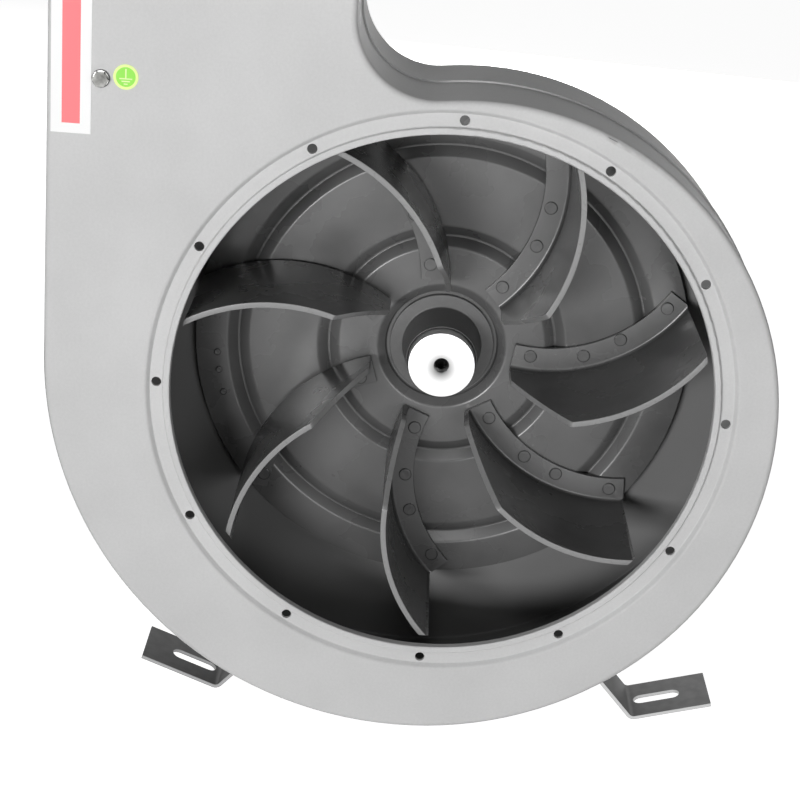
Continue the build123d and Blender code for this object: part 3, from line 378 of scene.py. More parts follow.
# %% Zinc and plain steel
def plated_metal(name, light, dark, rough, *patches):
    """Cloudy zinc, and over it each patch's colour where its mask is 1."""
    finish, tree, place = new_finish(name)
    cloud = add(tree, "ShaderNodeTexNoise", {"Vector": place, "Scale": 1 / (6 * MM), "Detail": 4.0})
    tone = two_tone(tree, cloud.outputs["Fac"], dark, light, 0.35, 0.65)
    tone = laid_over(tree, tone, *((mask(tree, place), colour) for mask, colour in patches))
    _, bump = grained(tree, place, 0.8, 2.0, 0.2, 0.05)
    metal = add(tree, "ShaderNodeBsdfPrincipled", {
        "Base Color": tone, "Metallic": 1.0, "Roughness": rough, "Normal": bump})
    close_finish(tree, metal)
    return finish


left_zinc = plated_metal("zinc_strip_left_foot", "#676767", "#5e5e5e", 0.5,
                         (cut_edges("foot_left", -1, LEFT_TILT), "#909090"))
# The right foot's zinc is lighter than the left one's: painted light.
right_zinc = plated_metal("zinc_strip_right_foot", "#777777", "#6d6d6d", 0.5,
                          (foot_leg(1), "#2e2e2e"),
                          (cut_edges("foot_right", 1, RIGHT_TILT), "#b0b0b0"))
plate_zinc = plated_metal("zinc_plated_plate", "#676767", "#5e5e5e", 0.5)
washer_zinc = plated_metal("zinc_plated_washer", "#dcdcda", "#c4c4c1", 0.32,
                           (outer_rim("earth_washer", 4.0), "#3c3c3c"))
bright_zinc = plated_metal("zinc_plated_fastener", "#dcdcda", "#c4c4c1", 0.32)
dull_zinc = plated_metal("dull_zinc_screw", "#6a6a68", "#2e2e2d", 0.3)
core_steel = plated_metal("laminated_steel", "#6e6e6e", "#5c5c5c", 0.5)
print("metals:", sleeve_steel.name, shaft_steel.name, left_zinc.name, right_zinc.name)

# %% [markdown]
# ## Moulded nylon
#
# The cooling fan and the cable gland are moulded in black nylon. The mould's tool was spark
# eroded, which leaves a fine even grain, and a small bump stands for it.

# %% Moulded nylon
def moulded(name, colour, rough):
    finish, tree, place = new_finish(name)
    _, bump = grained(tree, place, 0.9, 2.0, 0.25, 0.06)
    plastic = add(tree, "ShaderNodeBsdfPrincipled", {
        "Base Color": linear(colour), "Roughness": rough, "Normal": bump})
    close_finish(tree, plastic)
    return finish


black_nylon = moulded("moulded_nylon", "#202122", 0.5)

# %% [markdown]
# ## Printed films
#
# Two films are stuck on the casing. The tall label is white with a red block. The round sticker
# marks the earth point: a green disc with the usual sign of one upright bar over three level
# ones. Both are drawn from the piece's own X and Z, measured from its middle, with a rectangle
# for each bar, so they need neither a picture nor more pieces.

# %% Printed films
FILM_ROUGH, FILM_GLOSS = 0.5, 0.25
SIGN_COLOUR, STICKER_R = "#e6f7b4", 4.9


def printed_film(name, ground, centre, blocks, edge=None):
    """A film with blocks of (x0, x1, z0, z1, colour), in millimetres from its centre."""
    finish, tree, place = new_finish(name)
    moved = add(tree, "ShaderNodeVectorMath", {0: place, 1: centre}, operation="SUBTRACT")
    axes = add(tree, "ShaderNodeSeparateXYZ", {0: moved}).outputs
    away = add(tree, "ShaderNodeVectorMath", {0: moved}, operation="LENGTH").outputs["Value"]
    areas = [(holds(tree, (axes["X"], "GREATER_THAN", x0 * MM), (axes["X"], "LESS_THAN", x1 * MM),
                    (axes["Z"], "GREATER_THAN", z0 * MM), (axes["Z"], "LESS_THAN", z1 * MM)), ink)
             for x0, x1, z0, z1, ink in blocks]
    if edge:
        radius, outside = edge
        areas.insert(0, (holds(tree, (away, "GREATER_THAN", radius * MM)), outside))
    film = add(tree, "ShaderNodeBsdfPrincipled", {
        "Base Color": laid_over(tree, linear(ground), *areas), "Roughness": FILM_ROUGH,
        "Specular IOR Level": FILM_GLOSS})
    close_finish(tree, film)
    return finish


def middle_of(node):
    low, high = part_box(node)
    return (low + high) / 2


label_film = printed_film("white_label_film", "#f6f6f6", middle_of("label"),
                          [(-4.5, 4.6, -32.5, 40.0, "#fb8388")])
earth_film = printed_film("earth_sticker_film", "#98e858", middle_of("earth_sticker"),
                          [(-0.35, 0.35, -0.6, 4.0, SIGN_COLOUR),
                           (-3.2, 3.2, -1.2, -0.6, SIGN_COLOUR),
                           (-2.1, 2.1, -2.5, -1.9, SIGN_COLOUR),
                           (-1.0, 1.0, -3.8, -3.2, SIGN_COLOUR)],
                          edge=(STICKER_R, "#e9ffa2"))

# %% [markdown]
# ## Finishes on the solids
#
# Each solid gets its finish here. A piece that is remade further down gets the same one there.

# %% Give each solid its finish
FINISHES = {
    casing_grey: ["scroll_front", "scroll_rear", "outlet_flange"],
    wheel_grey: ["wheel_back_plate", "blade_rivets", "balance_rivets"]
    + ["blade_" + str(i) for i in range(1, 8)],
    hub_grey: ["wheel_hub"],
    motor_grey: ["motor_front_shield", "motor_housing", "motor_rear_shield", "terminal_box",
                 "terminal_lid"],
    cowl_grey: ["fan_cowl"],
    sleeve_steel: ["hub_sleeve"],
    shaft_steel: ["shaft", "shaft_key"],
    left_zinc: ["foot_left"],
    right_zinc: ["foot_right"],
    plate_zinc: ["motor_plate"],
    washer_zinc: ["earth_washer"],
    dull_zinc: ["earth_screw"],
    bright_zinc: ["earth_nut", "motor_bolts", "motor_washers",
                  "motor_nuts", "cowl_screws", "lid_screws"],
    core_steel: ["stator_core", "rotor_core", "bearing_front", "bearing_rear"],
    black_nylon: ["cooling_fan", "cable_gland"],
    label_film: ["label"],
    earth_film: ["earth_sticker"],
}
for finish, names in FINISHES.items():
    for name in names:
        nodes[name].data.materials.clear()
        nodes[name].data.materials.append(finish)
print("finished:", sum(len(names) for names in FINISHES.values()), "of", len(nodes))

# %% [markdown]
# ## Geometry Nodes: a profile swept about the shaft
#
# The wheel is sheet and turned metal, so most of it follows one rule: a closed outline of
# (radius, y), carried round an axis. A disc or a hub goes all the way round, and a blade goes
# part of the way round its own axis. One tree does it. The outline's corners are rounded by the
# amount that each point stores in an attribute, bend, which also rolls the sharp edges as
# tumbling and enamel do. The outline runs along a straight line of many steps, and each step is
# then laid at its own clock angle. A Screw or Spin would turn an outline too, but it would not
# round the corners by their own radii, and its sizes would not be inputs.

# %% Helpers for geometry trees
def new_tree(name, sizes):
    """A geometry tree with named inputs, each given as (socket type, starting value)."""
    tree = bpy.data.node_groups.new(name, "GeometryNodeTree")
    tree.interface.new_socket("Geometry", in_out="INPUT", socket_type="NodeSocketGeometry")
    for label, (kind, value) in sizes.items():
        socket = tree.interface.new_socket(label, in_out="INPUT", socket_type="NodeSocket" + kind)
        if value is not None:
            socket.default_value = value
    tree.interface.new_socket("Geometry", in_out="OUTPUT", socket_type="NodeSocketGeometry")
    return tree, add(tree, "NodeGroupInput").outputs


def close_tree(tree, geometry, material):
    """Every tree ends in plain geometry with its material on it."""
    real = add(tree, "GeometryNodeRealizeInstances", {"Geometry": geometry})
    painted = add(tree, "GeometryNodeSetMaterial", {"Geometry": real, "Material": material})
    add(tree, "NodeGroupOutput", {"Geometry": painted})


# %% From a tree to a finished mesh
SMOOTH_UP_TO = math.radians(38)
COLUMNS = (("worn", 3), ("painted_shade", 4))


def applied(piece):
    """The piece's mesh with its modifiers worked into it."""
    view = bpy.context.evaluated_depsgraph_get()
    result = bpy.data.meshes.new_from_object(piece.evaluated_get(view))
    piece.modifiers.clear()
    return result


def grown(name, mesh, *steps):
    """Runs trees on a mesh, each given as (tree, values), and returns a plain mesh object."""
    piece = bpy.data.objects.new(name, mesh)
    bpy.context.scene.collection.objects.link(piece)
    for tree, values in steps:
        modifier = piece.modifiers.new(tree.name, "NODES")
        modifier.node_group = tree
        for item in tree.interface.items_tree:
            if item.in_out == "INPUT" and item.name in values:
                modifier[item.identifier] = values[item.name]
    piece.data = applied(piece)
    piece.data.shade_smooth()
    piece.data.set_sharp_from_angle(angle=SMOOTH_UP_TO)
    return piece


def outline_mesh(name, points):
    """A closed outline of (radius, y, corner radius, worn, painted shade), in millimetres."""
    mesh = bpy.data.meshes.new(name)
    count = len(points)
    mesh.from_pydata([(p[0] * MM, p[1] * MM, 0) for p in points],
                     [(i, (i + 1) % count) for i in range(count)], [])
    bend = mesh.attributes.new("bend", "FLOAT", "POINT")
    bend.data.foreach_set("value", [p[2] * MM for p in points])
    for label, column in COLUMNS:
        mark = mesh.attributes.new(label, "FLOAT", "POINT")
        mark.data.foreach_set("value", [float(p[column]) if len(p) > column else 0.0
                                        for p in points])
    return mesh


# %% The sweep
SAME_SPOT = 0.004 * MM

sweep, given = new_tree("sweep_about_shaft", {
    "Steps": ("Int", 96), "First clock": ("Float", 0.0), "Last clock": ("Float", 2 * math.pi),
    "Has ends": ("Bool", False), "Corner steps": ("Int", 4), "Material": ("Material", None)})
curve = add(sweep, "GeometryNodeMeshToCurve", {"Mesh": given["Geometry"]})
bend = add(sweep, "GeometryNodeInputNamedAttribute", {"Name": "bend"}, data_type="FLOAT")
rolled = add(sweep, "GeometryNodeFilletCurve", {
    "Curve": curve, "Count": given["Corner steps"], "Radius": bend.outputs["Attribute"],
    "Limit Radius": True}, mode="POLY")
line = add(sweep, "GeometryNodeCurvePrimitiveLine", {"End": (0.0, 0.0, 1.0)})
many = add(sweep, "GeometryNodeResampleCurve", {"Curve": line, "Count": given["Steps"]})
prism = add(sweep, "GeometryNodeCurveToMesh", {
    "Curve": many, "Profile Curve": rolled, "Fill Caps": given["Has ends"]})
point = add(sweep, "ShaderNodeSeparateXYZ", {0: add(sweep, "GeometryNodeInputPosition")}).outputs
clock = add(sweep, "ShaderNodeMapRange", {"Value": point["Z"], "To Min": given["First clock"],
                                          "To Max": given["Last clock"]})
side, rise = (add(sweep, "ShaderNodeMath", {0: clock}, operation=wave)
              for wave in ("SINE", "COSINE"))
across, above = (add(sweep, "ShaderNodeMath", {0: point["X"], 1: part}, operation="MULTIPLY")
                 for part in (side, rise))
laid = add(sweep, "ShaderNodeCombineXYZ", {"X": across, "Y": point["Y"], "Z": above})
turned = add(sweep, "GeometryNodeSetPosition", {"Geometry": prism, "Position": laid})
outward = add(sweep, "GeometryNodeFlipFaces", {"Mesh": turned})
joined = add(sweep, "GeometryNodeMergeByDistance", {"Geometry": outward, "Distance": SAME_SPOT})
close_tree(sweep, joined, given["Material"])
print("sweep:", len(sweep.nodes), "nodes")

# %% [markdown]
# ## The wheel's back plate
#
# A 2 mm disc, dished back round the hub, with two ring grooves pressed into it so that it
# doesn't ring or flutter. The grooves are what the light picks out on it. Each is a narrow
# floor between two sloping walls, and every bend has the press tool's radius. The outline's
# front and rear lines follow each other at the sheet's thickness, and the sweep turns them.

# %% Back plate
PLATE_Y, PLATE, WHEEL_R, PLATE_EDGE, LIP_EDGE = 93.75, 2.0, 141.0, 0.3, 0.4
GROOVES, GROOVE_DEPTH, GROOVE_FLOOR, GROOVE_WALL, GROOVE_BEND = (64.9, 116.6), 4.2, 1.2, 5.4, 1.0
LIP_R, LIP_RUN, LIP_DEPTH, LIP_BEND = 32.4, 4.4, 4.0, 3.0
# Painted shade on the grooves' floors.
GROOVE_SHADE = 0.45


def offset_at_bend(depth, run):
    """How far a bend moves along the sheet from its front face to its rear face."""
    return PLATE * math.tan(math.atan(depth / run) / 2)


def plate_outline():
    lean, shift = offset_at_bend(LIP_DEPTH, LIP_RUN), offset_at_bend(GROOVE_DEPTH, GROOVE_WALL)
    lip_y, rear_y = PLATE_Y + LIP_DEPTH, PLATE_Y + PLATE
    front = [(LIP_R, lip_y, LIP_EDGE), (LIP_R + LIP_RUN, PLATE_Y, LIP_BEND)]
    rear = [(LIP_R - lean, lip_y + PLATE, LIP_EDGE),
            (LIP_R + LIP_RUN - lean, rear_y, LIP_BEND - PLATE)]
    low, half, big = PLATE_Y + GROOVE_DEPTH, GROOVE_FLOOR / 2, GROOVE_BEND + PLATE
    for r in GROOVES:
        front += [(r - half - GROOVE_WALL, PLATE_Y, big),
                  (r - half, low, GROOVE_BEND, 0, GROOVE_SHADE),
                  (r + half, low, GROOVE_BEND, 0, GROOVE_SHADE),
                  (r + half + GROOVE_WALL, PLATE_Y, big)]
        rear += [(r - half - GROOVE_WALL - shift, rear_y, GROOVE_BEND),
                 (r - half - shift, low + PLATE, big), (r + half + shift, low + PLATE, big),
                 (r + half + GROOVE_WALL + shift, rear_y, GROOVE_BEND)]
    front.append((WHEEL_R, PLATE_Y, PLATE_EDGE))
    rear.append((WHEEL_R, rear_y, PLATE_EDGE))
    return front + rear[::-1]


plate = grown("wheel_plate_pressed", outline_mesh("plate_outline", plate_outline()),
              (sweep, {"Steps": 181, "Corner steps": 6, "Material": wheel_grey}))
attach(plate, "rotor")
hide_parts("wheel_back_plate")
print("back plate:", len(plate.data.polygons), "faces")

# %% [markdown]
# ## The blades
#
# Each blade is a 3 mm strip rolled to an arc, with a foot bent over to be riveted to the plate,
# and its inner corner cut off on a slant so that chips slide past the hub. The strip is the
# same sweep, about the blade's own axis. A second tree then moves the front edge back along the
# slant, cuts the outer end to the wheel's rim, and sets the blade at its place in the wheel.

# %% A blade's outline
BLADE, ARC_R, CENTRE_R, FRONT_Y, NOTCH_Y = 3.0, 99.0, 104.3, 8.25, 67.5
START, END, SLANT, FOOT_R, BLADE_BEND = 90.0, 157.0, 139.2, 83.7, 2.0
BLADE_COUNT, PHASE = 7, 32.4
BLADE_EDGE, FOOT_EDGE, WORN_DEPTH, EDGE_ZONE = 0.35, 0.2, 0.9, 2.0
# Painted shade in the blade's bends and along its foot.
BEND_SHADE, FOOT_SHADE, INNER_SHADE = 0.8, 1, 0.4


def blade_outline():
    inner, outer, foot = ARC_R - BLADE / 2, ARC_R + BLADE / 2, PLATE_Y - BLADE
    worn_y = FRONT_Y + WORN_DEPTH
    return [(inner, FRONT_Y, BLADE_EDGE, 1), (outer, FRONT_Y, BLADE_EDGE, 1), (outer, worn_y, 0.0),
            (outer, PLATE_Y, BLADE_BEND + BLADE, 0, BEND_SHADE),
            (FOOT_R, PLATE_Y, FOOT_EDGE, 0, FOOT_SHADE), (FOOT_R, foot, BLADE_EDGE),
            (inner, foot, BLADE_BEND, 0, INNER_SHADE), (inner, worn_y, 0.0)]


# %% Slant, rim and place
fit, given = new_tree("fit_blade_to_wheel", {
    "Slant middle": ("Float", 0.0), "Slant half": ("Float", 0.03), "Front": ("Float", 0.008),
    "Notch": ("Float", 0.067), "Centre distance": ("Float", 0.1), "Wheel radius": ("Float", 0.14),
    "Turn": ("Float", 0.0), "Material": ("Material", None)})
at = add(fit, "GeometryNodeInputPosition")
back_turn = add(fit, "ShaderNodeMath", {0: given["Slant middle"], 1: -1.0}, operation="MULTIPLY")
local = add(fit, "ShaderNodeVectorRotate", {"Vector": at, "Angle": back_turn},
            rotation_type="Y_AXIS")
along = add(fit, "ShaderNodeSeparateXYZ", {0: local}).outputs["X"]
other_end = add(fit, "ShaderNodeMath", {0: given["Slant half"], 1: -1.0}, operation="MULTIPLY")
drop = add(fit, "ShaderNodeMath", {0: given["Notch"], 1: given["Front"]}, operation="SUBTRACT")
pushed = add(fit, "ShaderNodeMapRange", {"Value": along, "From Min": other_end,
                                         "From Max": given["Slant half"], "To Max": drop})
push = add(fit, "ShaderNodeCombineXYZ", {"Y": pushed})
edge_limit = add(fit, "ShaderNodeMath", {0: given["Front"], 1: EDGE_ZONE * MM}, operation="ADD")
edge = add(fit, "ShaderNodeMath", {0: add(fit, "ShaderNodeSeparateXYZ", {0: at}).outputs["Y"],
                                   1: edge_limit}, operation="LESS_THAN")
slanted = add(fit, "GeometryNodeSetPosition", {"Geometry": given["Geometry"], "Selection": edge,
                                               "Offset": push})
lift = add(fit, "ShaderNodeCombineXYZ", {"Z": given["Centre distance"]})
lifted = add(fit, "GeometryNodeSetPosition", {"Geometry": slanted, "Offset": lift})
ratio = add(fit, "ShaderNodeMath", {0: given["Wheel radius"], 1: from_axis(fit, at)},
            operation="DIVIDE")
kept = add(fit, "ShaderNodeMath", {0: ratio, 1: 1.0}, operation="MINIMUM")
keep = add(fit, "ShaderNodeCombineXYZ", {"X": kept, "Y": 1.0, "Z": kept})
inside_rim = add(fit, "ShaderNodeVectorMath", {0: at, 1: keep}, operation="MULTIPLY")
trimmed = add(fit, "GeometryNodeSetPosition", {"Geometry": lifted, "Position": inside_rim})
round_shaft = add(fit, "ShaderNodeVectorRotate", {"Vector": at, "Angle": given["Turn"]},
                  rotation_type="Y_AXIS")
placed = add(fit, "GeometryNodeSetPosition", {"Geometry": trimmed, "Position": round_shaft})
close_tree(fit, placed, given["Material"])
print("fit:", len(fit.nodes), "nodes")

# %% Seven blades
slant_middle = (SLANT + END) / 2
slant_half = ARC_R * math.sin(math.radians(END - slant_middle))
for index in range(BLADE_COUNT):
    number = str(index + 1)
    blade = grown("blade_rolled_" + number, outline_mesh("blade_outline", blade_outline()),
                  (sweep, {"Steps": 97, "First clock": math.radians(START),
                           "Last clock": math.radians(END), "Has ends": True,
                           "Material": wheel_grey}),
                  (fit, {"Slant middle": math.radians(slant_middle), "Slant half": slant_half * MM,
                         "Front": FRONT_Y * MM, "Notch": NOTCH_Y * MM,
                         "Centre distance": CENTRE_R * MM, "Wheel radius": WHEEL_R * MM,
                         "Turn": math.radians(PHASE + index * 360 / BLADE_COUNT),
                         "Material": wheel_grey}))
    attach(blade, "rotor")
    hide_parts("blade_" + number)
print("blades:", BLADE_COUNT, "of", len(blade.data.polygons), "faces each")

# %% [markdown]
# ## Fasteners set out round the shaft
#
# Rivets and screws repeat round the shaft: four rivets to each of seven blades, and four screws
# round the cowl. One tree copies a set of points round the axis, puts the fastener on each, and
# turns and tilts each a little by a fixed seed, because no two are driven the same. Copying by
# hand or with an Array would repeat the first one's pose exactly.

# %% Set out round the shaft
set_out, given = new_tree("set_out_round_shaft", {
    "Piece": ("Object", None), "Copies": ("Int", 1), "First turn": ("Float", 0.0),
    "Wobble": ("Vector", (0.0, 0.0, 0.0)), "Seed": ("Int", 1), "Material": ("Material", None)})
points = add(set_out, "GeometryNodeMeshToPoints", {"Mesh": given["Geometry"]})
copies = add(set_out, "GeometryNodeDuplicateElements", {"Geometry": points,
                                                        "Amount": given["Copies"]}, domain="POINT")
share = add(set_out, "ShaderNodeMath", {0: copies.outputs["Duplicate Index"], 1: given["Copies"]},
            operation="DIVIDE")
angle = add(set_out, "ShaderNodeMath", {0: share, 1: 2 * math.pi, 2: given["First turn"]},
            operation="MULTIPLY_ADD")
spot = add(set_out, "ShaderNodeVectorRotate", {
    "Vector": add(set_out, "GeometryNodeInputPosition"), "Angle": angle}, rotation_type="Y_AXIS")
moved = add(set_out, "GeometryNodeSetPosition", {"Geometry": copies, "Position": spot})
upright = add(set_out, "FunctionNodeAxisAngleToRotation", {"Axis": (0.0, 1.0, 0.0), "Angle": angle})
least = add(set_out, "ShaderNodeVectorMath", {0: given["Wobble"], 1: (-1.0, -1.0, -1.0)},
            operation="MULTIPLY")
chance = add(set_out, "FunctionNodeRandomValue", {"Min": least, "Max": given["Wobble"],
                                                  "Seed": given["Seed"]}, data_type="FLOAT_VECTOR")
lean = add(set_out, "FunctionNodeEulerToRotation", {0: chance.outputs["Value"]})
pose = add(set_out, "FunctionNodeRotateRotation", {"Rotation": upright, "Rotate By": lean},
           rotation_space="LOCAL")
fastener = add(set_out, "GeometryNodeObjectInfo", {"Object": given["Piece"]})
spread = add(set_out, "GeometryNodeInstanceOnPoints", {
    "Points": moved, "Instance": fastener.outputs["Geometry"], "Rotation": pose})
close_tree(set_out, spread, given["Material"])
print("set out:", len(set_out.nodes), "nodes")


# %% A row of fasteners
def points_mesh(name, places):
    mesh = bpy.data.meshes.new(name)
    mesh.from_pydata([[c * MM for c in place] for place in places], [], [])
    return mesh


def fastened(name, places, piece, copies, first, wobble, seed, material, body, node):
    """Sets a fastener out, and lets the result stand for a solid."""
    row = grown(name, points_mesh(name + "_places", places), (set_out, {
        "Piece": piece, "Copies": copies, "First turn": math.radians(first), "Wobble": wobble,
        "Seed": seed, "Material": material}))
    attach(row, body)
    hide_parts(node)
    print(name + ":", len(places) * copies, "pieces,", len(row.data.polygons), "faces")


# %% [markdown]
# ## Rivets
#
# The rivets are closed cold in a press, which leaves a low flat head with a rounded edge and a
# slight hollow where the shank was upset. The one nearest the hub goes through the hub's flange
# as well and is longer. Three small ones on the plate hold nothing: they balance the wheel.
# A rivet is round, so it is the same sweep of an outline, from the head to the tail.

# %% Rivets
RIVET_CLOCKS, RIVET_ARC_R, RIVET_Y = (151.0, 131.5, 116.8, 95.6), 88.9, PLATE_Y - BLADE
RIVET_R, HEAD_R, HEAD, TAIL_R, TAIL = 2.0, 3.7, 0.8, 3.2, 1.3
BALANCE_RIVET_R, BALANCE_HEAD_R, BALANCE_HEAD = 1.25, 2.0, 0.9
HOLLOW, HOLLOW_SHARE, HOLLOW_BEND, RIM_WIDTH, RIM_BEND, TAIL_BEND = 0.12, 0.55, 0.8, 0.75, 0.28, 0.3
HUB_FLANGE = 5.0


def rivet_piece(name, y_head, y_tail, shank, head_r, head, tail_r):
    top, end = y_head - head, y_tail + TAIL
    # The head's rim carries painted shade, a dark outline round the head.
    points = [(0.0, top + HOLLOW, 0.0), (head_r * HOLLOW_SHARE, top, HOLLOW_BEND),
              (head_r - RIM_WIDTH, top, 0.0), (head_r, top, RIM_BEND, 0, 1),
              (head_r, y_head, 0.0, 0, 1), (shank, y_head, 0.0),
              (shank, y_tail, 0.0), (tail_r, y_tail, 0.0), (tail_r, end, TAIL_BEND),
              (0.0, end, 0.0)]
    return grown(name, outline_mesh(name + "_outline", points),
                 (sweep, {"Steps": 29, "Corner steps": 3, "Material": wheel_grey}))


def on_circle(radius, clock, y=0.0, rise=0.0):
    """A place on a circle about an axis along Y, at a clock angle in degrees."""
    turn = math.radians(clock)
    return (radius * math.sin(turn), y, rise + radius * math.cos(turn))


through = PLATE_Y + PLATE
short = rivet_piece("rivet", RIVET_Y, through, RIVET_R, HEAD_R, HEAD, TAIL_R)
long = rivet_piece("hub_rivet", RIVET_Y, through + HUB_FLANGE, RIVET_R, HEAD_R, HEAD, TAIL_R)
small = rivet_piece("balance_rivet", PLATE_Y, through, BALANCE_RIVET_R, BALANCE_HEAD_R,
                    BALANCE_HEAD, BALANCE_HEAD_R)
print("rivet:", len(short.data.polygons), "faces")

# %% Twenty-eight blade rivets in two lengths
# The rivet nearest the hub is the long one, so the places are set out as two rows and joined.
RIVET_WOBBLE, BALANCE_WOBBLE = (0.012, 3.1, 0.012), (0.02, 3.1, 0.02)
near_hub, *further_out = [on_circle(RIVET_ARC_R, c, rise=CENTRE_R) for c in RIVET_CLOCKS]
near = grown("near_rivets", points_mesh("near_places", [near_hub]), (set_out, {
    "Piece": long, "Copies": BLADE_COUNT, "First turn": math.radians(PHASE),
    "Wobble": RIVET_WOBBLE, "Seed": 3, "Material": wheel_grey}))
rest = grown("blade_rivets_closed", points_mesh("rest_places", further_out), (set_out, {
    "Piece": short, "Copies": BLADE_COUNT, "First turn": math.radians(PHASE),
    "Wobble": RIVET_WOBBLE, "Seed": 4, "Material": wheel_grey}))
both = bmesh.new()
both.from_mesh(rest.data)
both.from_mesh(near.data)
both.to_mesh(rest.data)
both.free()
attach(rest, "rotor")
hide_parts("blade_rivets")
print("blade rivets:", len(RIVET_CLOCKS) * BLADE_COUNT, "pieces,", len(rest.data.polygons), "faces")

# %% Three balance rivets
BALANCE_R, BALANCE_CLOCKS = 129.3, (264.4, 259.0, 253.2)
fastened("balance_rivets_closed", [on_circle(BALANCE_R, c) for c in BALANCE_CLOCKS], small, 1, 0.0,
         BALANCE_WOBBLE, 5, wheel_grey, "rotor", "balance_rivets")

# %% [markdown]
# ## Cross-head screws
#
# Four screws hold the motor's cowl and four its terminal lid. Each has a pan head with a cross
# recess, struck into it before it is plated. The head is a turned outline, and a Boolean cuts
# the recess once, before the screw is copied. It needs closed shells that don't cross
# themselves, so the cutter is one cross-shaped block and not two bars through each other.

# %% A closed shell and its cutter
def one_shell(mesh):
    """Closes a mesh for a Boolean, with its normals outwards, and returns its open edges."""
    shell = bmesh.new()
    shell.from_mesh(mesh)
    bmesh.ops.remove_doubles(shell, verts=shell.verts, dist=SAME_SPOT)
    bmesh.ops.delete(shell, geom=[edge for edge in shell.edges if edge.is_wire], context="EDGES")
    bmesh.ops.recalc_face_normals(shell, faces=shell.faces)
    open_edges = sum(not edge.is_manifold for edge in shell.edges)
    shell.to_mesh(mesh)
    shell.free()
    return open_edges


def cross_recess(name, reach, depth, arm, face_y):
    """A block with a cross for its outline, from a depth inside a face to as far outside it."""
    half = arm / 2
    quarter = [(half, half), (reach, half), (reach, -half)]
    corners = []
    for _ in range(4):
        corners += quarter
        quarter = [(z, -x) for x, z in quarter]
    block = bmesh.new()
    ends = [[block.verts.new((x * MM, y * MM, z * MM)) for x, z in corners]
            for y in (face_y - depth, face_y + depth)]
    for end in ends:
        block.faces.new(end)
    for i, corner in enumerate(ends[0]):
        j = (i + 1) % len(corners)
        block.faces.new((corner, ends[0][j], ends[1][j], ends[1][i]))
    bmesh.ops.recalc_face_normals(block, faces=block.faces)
    data = bpy.data.meshes.new(name)
    block.to_mesh(data)
    block.free()
    cutter = bpy.data.objects.new(name, data)
    bpy.context.scene.collection.objects.link(cutter)
    return cutter


# %% A pan-head screw standing on Z
SCREW_HEAD_R, SCREW_R, RECESS = 4.0, 2.0, 2.3
CROWN_SHARE, SKIRT_SHARE, CROWN_BEND_SHARE, SKIRT_BEND_SHARE = 0.78, 0.35, 0.45, 0.3
UNDER_BEND, TIP_BEND = 0.15, 0.3
RECESS_DEPTH_SHARE, ARM_SHARE = 0.55, 0.45
SCREW_SMOOTH_UP_TO = math.radians(35)


def screw_piece(name, head, length):
    outline = [(0.0, -head, 0.0),
               (SCREW_HEAD_R * CROWN_SHARE, -head, head * CROWN_BEND_SHARE),
               (SCREW_HEAD_R, -head * SKIRT_SHARE, head * SKIRT_BEND_SHARE),
               (SCREW_HEAD_R, 0.0, UNDER_BEND), (SCREW_R, 0.0, 0.0),
               (SCREW_R, length, TIP_BEND), (0.0, length, 0.0)]
    screw = grown(name, outline_mesh(name + "_outline", outline),
                  (sweep, {"Steps": 33, "Corner steps": 4, "Material": bright_zinc}))
    print(name, "turned:", len(screw.data.polygons), "faces,", one_shell(screw.data), "open edges")
    cutter = cross_recess(name + "_recess", RECESS, head * RECESS_DEPTH_SHARE,
                          RECESS * ARM_SHARE, -head)
    cut = screw.modifiers.new("recess", "BOOLEAN")
    cut.object, cut.operation, cut.solver = cutter, "DIFFERENCE", "EXACT"
    screw.data = applied(screw)
    print(name, "cut:", len(screw.data.polygons), "faces,", one_shell(screw.data), "open edges")
    # The outline is turned about Y with its head at -Y; a quarter turn stands it up on Z.
    screw.data.transform(Matrix.Rotation(math.radians(-90), 4, "X"))
    screw.data.shade_smooth()
    screw.data.set_sharp_from_angle(angle=SCREW_SMOOTH_UP_TO)
    bpy.data.objects.remove(cutter)
    return screw


cowl_screw = screw_piece("cowl_screw", 2.4, 9.0)
lid_screw = screw_piece("lid_screw", 2.5, 18.0)

# %% Cowl and lid screws in place
COWL_R, COWL_FIRST, LID_INSET = 79.5, 45.0, 8.0
cowl_low, cowl_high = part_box("cowl_screws")
cowl_y = (cowl_low.y + cowl_high.y) / 2 / MM
fastened("cowl_screws_driven", [(0.0, cowl_y, COWL_R)], cowl_screw, 4, COWL_FIRST,
         (0.0, 0.0, 0.6), 7, bright_zinc, "casing", "cowl_screws")
lid_low, lid_high = (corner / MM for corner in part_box("terminal_lid"))
fastened("lid_screws_driven",
         [(x, y, lid_high.z) for x in (lid_low.x + LID_INSET, lid_high.x - LID_INSET)
          for y in (lid_low.y + LID_INSET, lid_high.y - LID_INSET)],
         lid_screw, 1, 0.0, (0.0, 0.0, 0.7), 9, bright_zinc, "casing", "lid_screws")
for made in (short, long, small, near, cowl_screw, lid_screw):
    bpy.data.objects.remove(made)

# %% [markdown]
# ## Hub and sleeve
#
# The hub is cast iron turned all over: a flange behind the plate, a flat ring, and a tapered
# nose whose mouth has a lead-in for the sleeve. The sleeve closes the bore in front but for a
# threaded hole to jack it off the shaft. Both are the same sweep, all the way round.

# %% Hub
HUB_REAR_Y, BORE, NOSE_Y, NOSE_R, NOSE_ROOT_R = 103.0, 18.77, 68.5, 20.0, 22.35
LEAD, LEAD_DEPTH, RING_STEP, RING_OUT_R, LIP_GAP = 0.85, 3.0, 1.0, 29.8, 0.2
HUB_FLANGE_R, BOSS_FOOT_R, BOSS_R = 57.0, 46.0, 36.0
# The hub's face lies a gap behind the lip, so its bend moves a tenth more.
LEAN_SHARE = 1.1

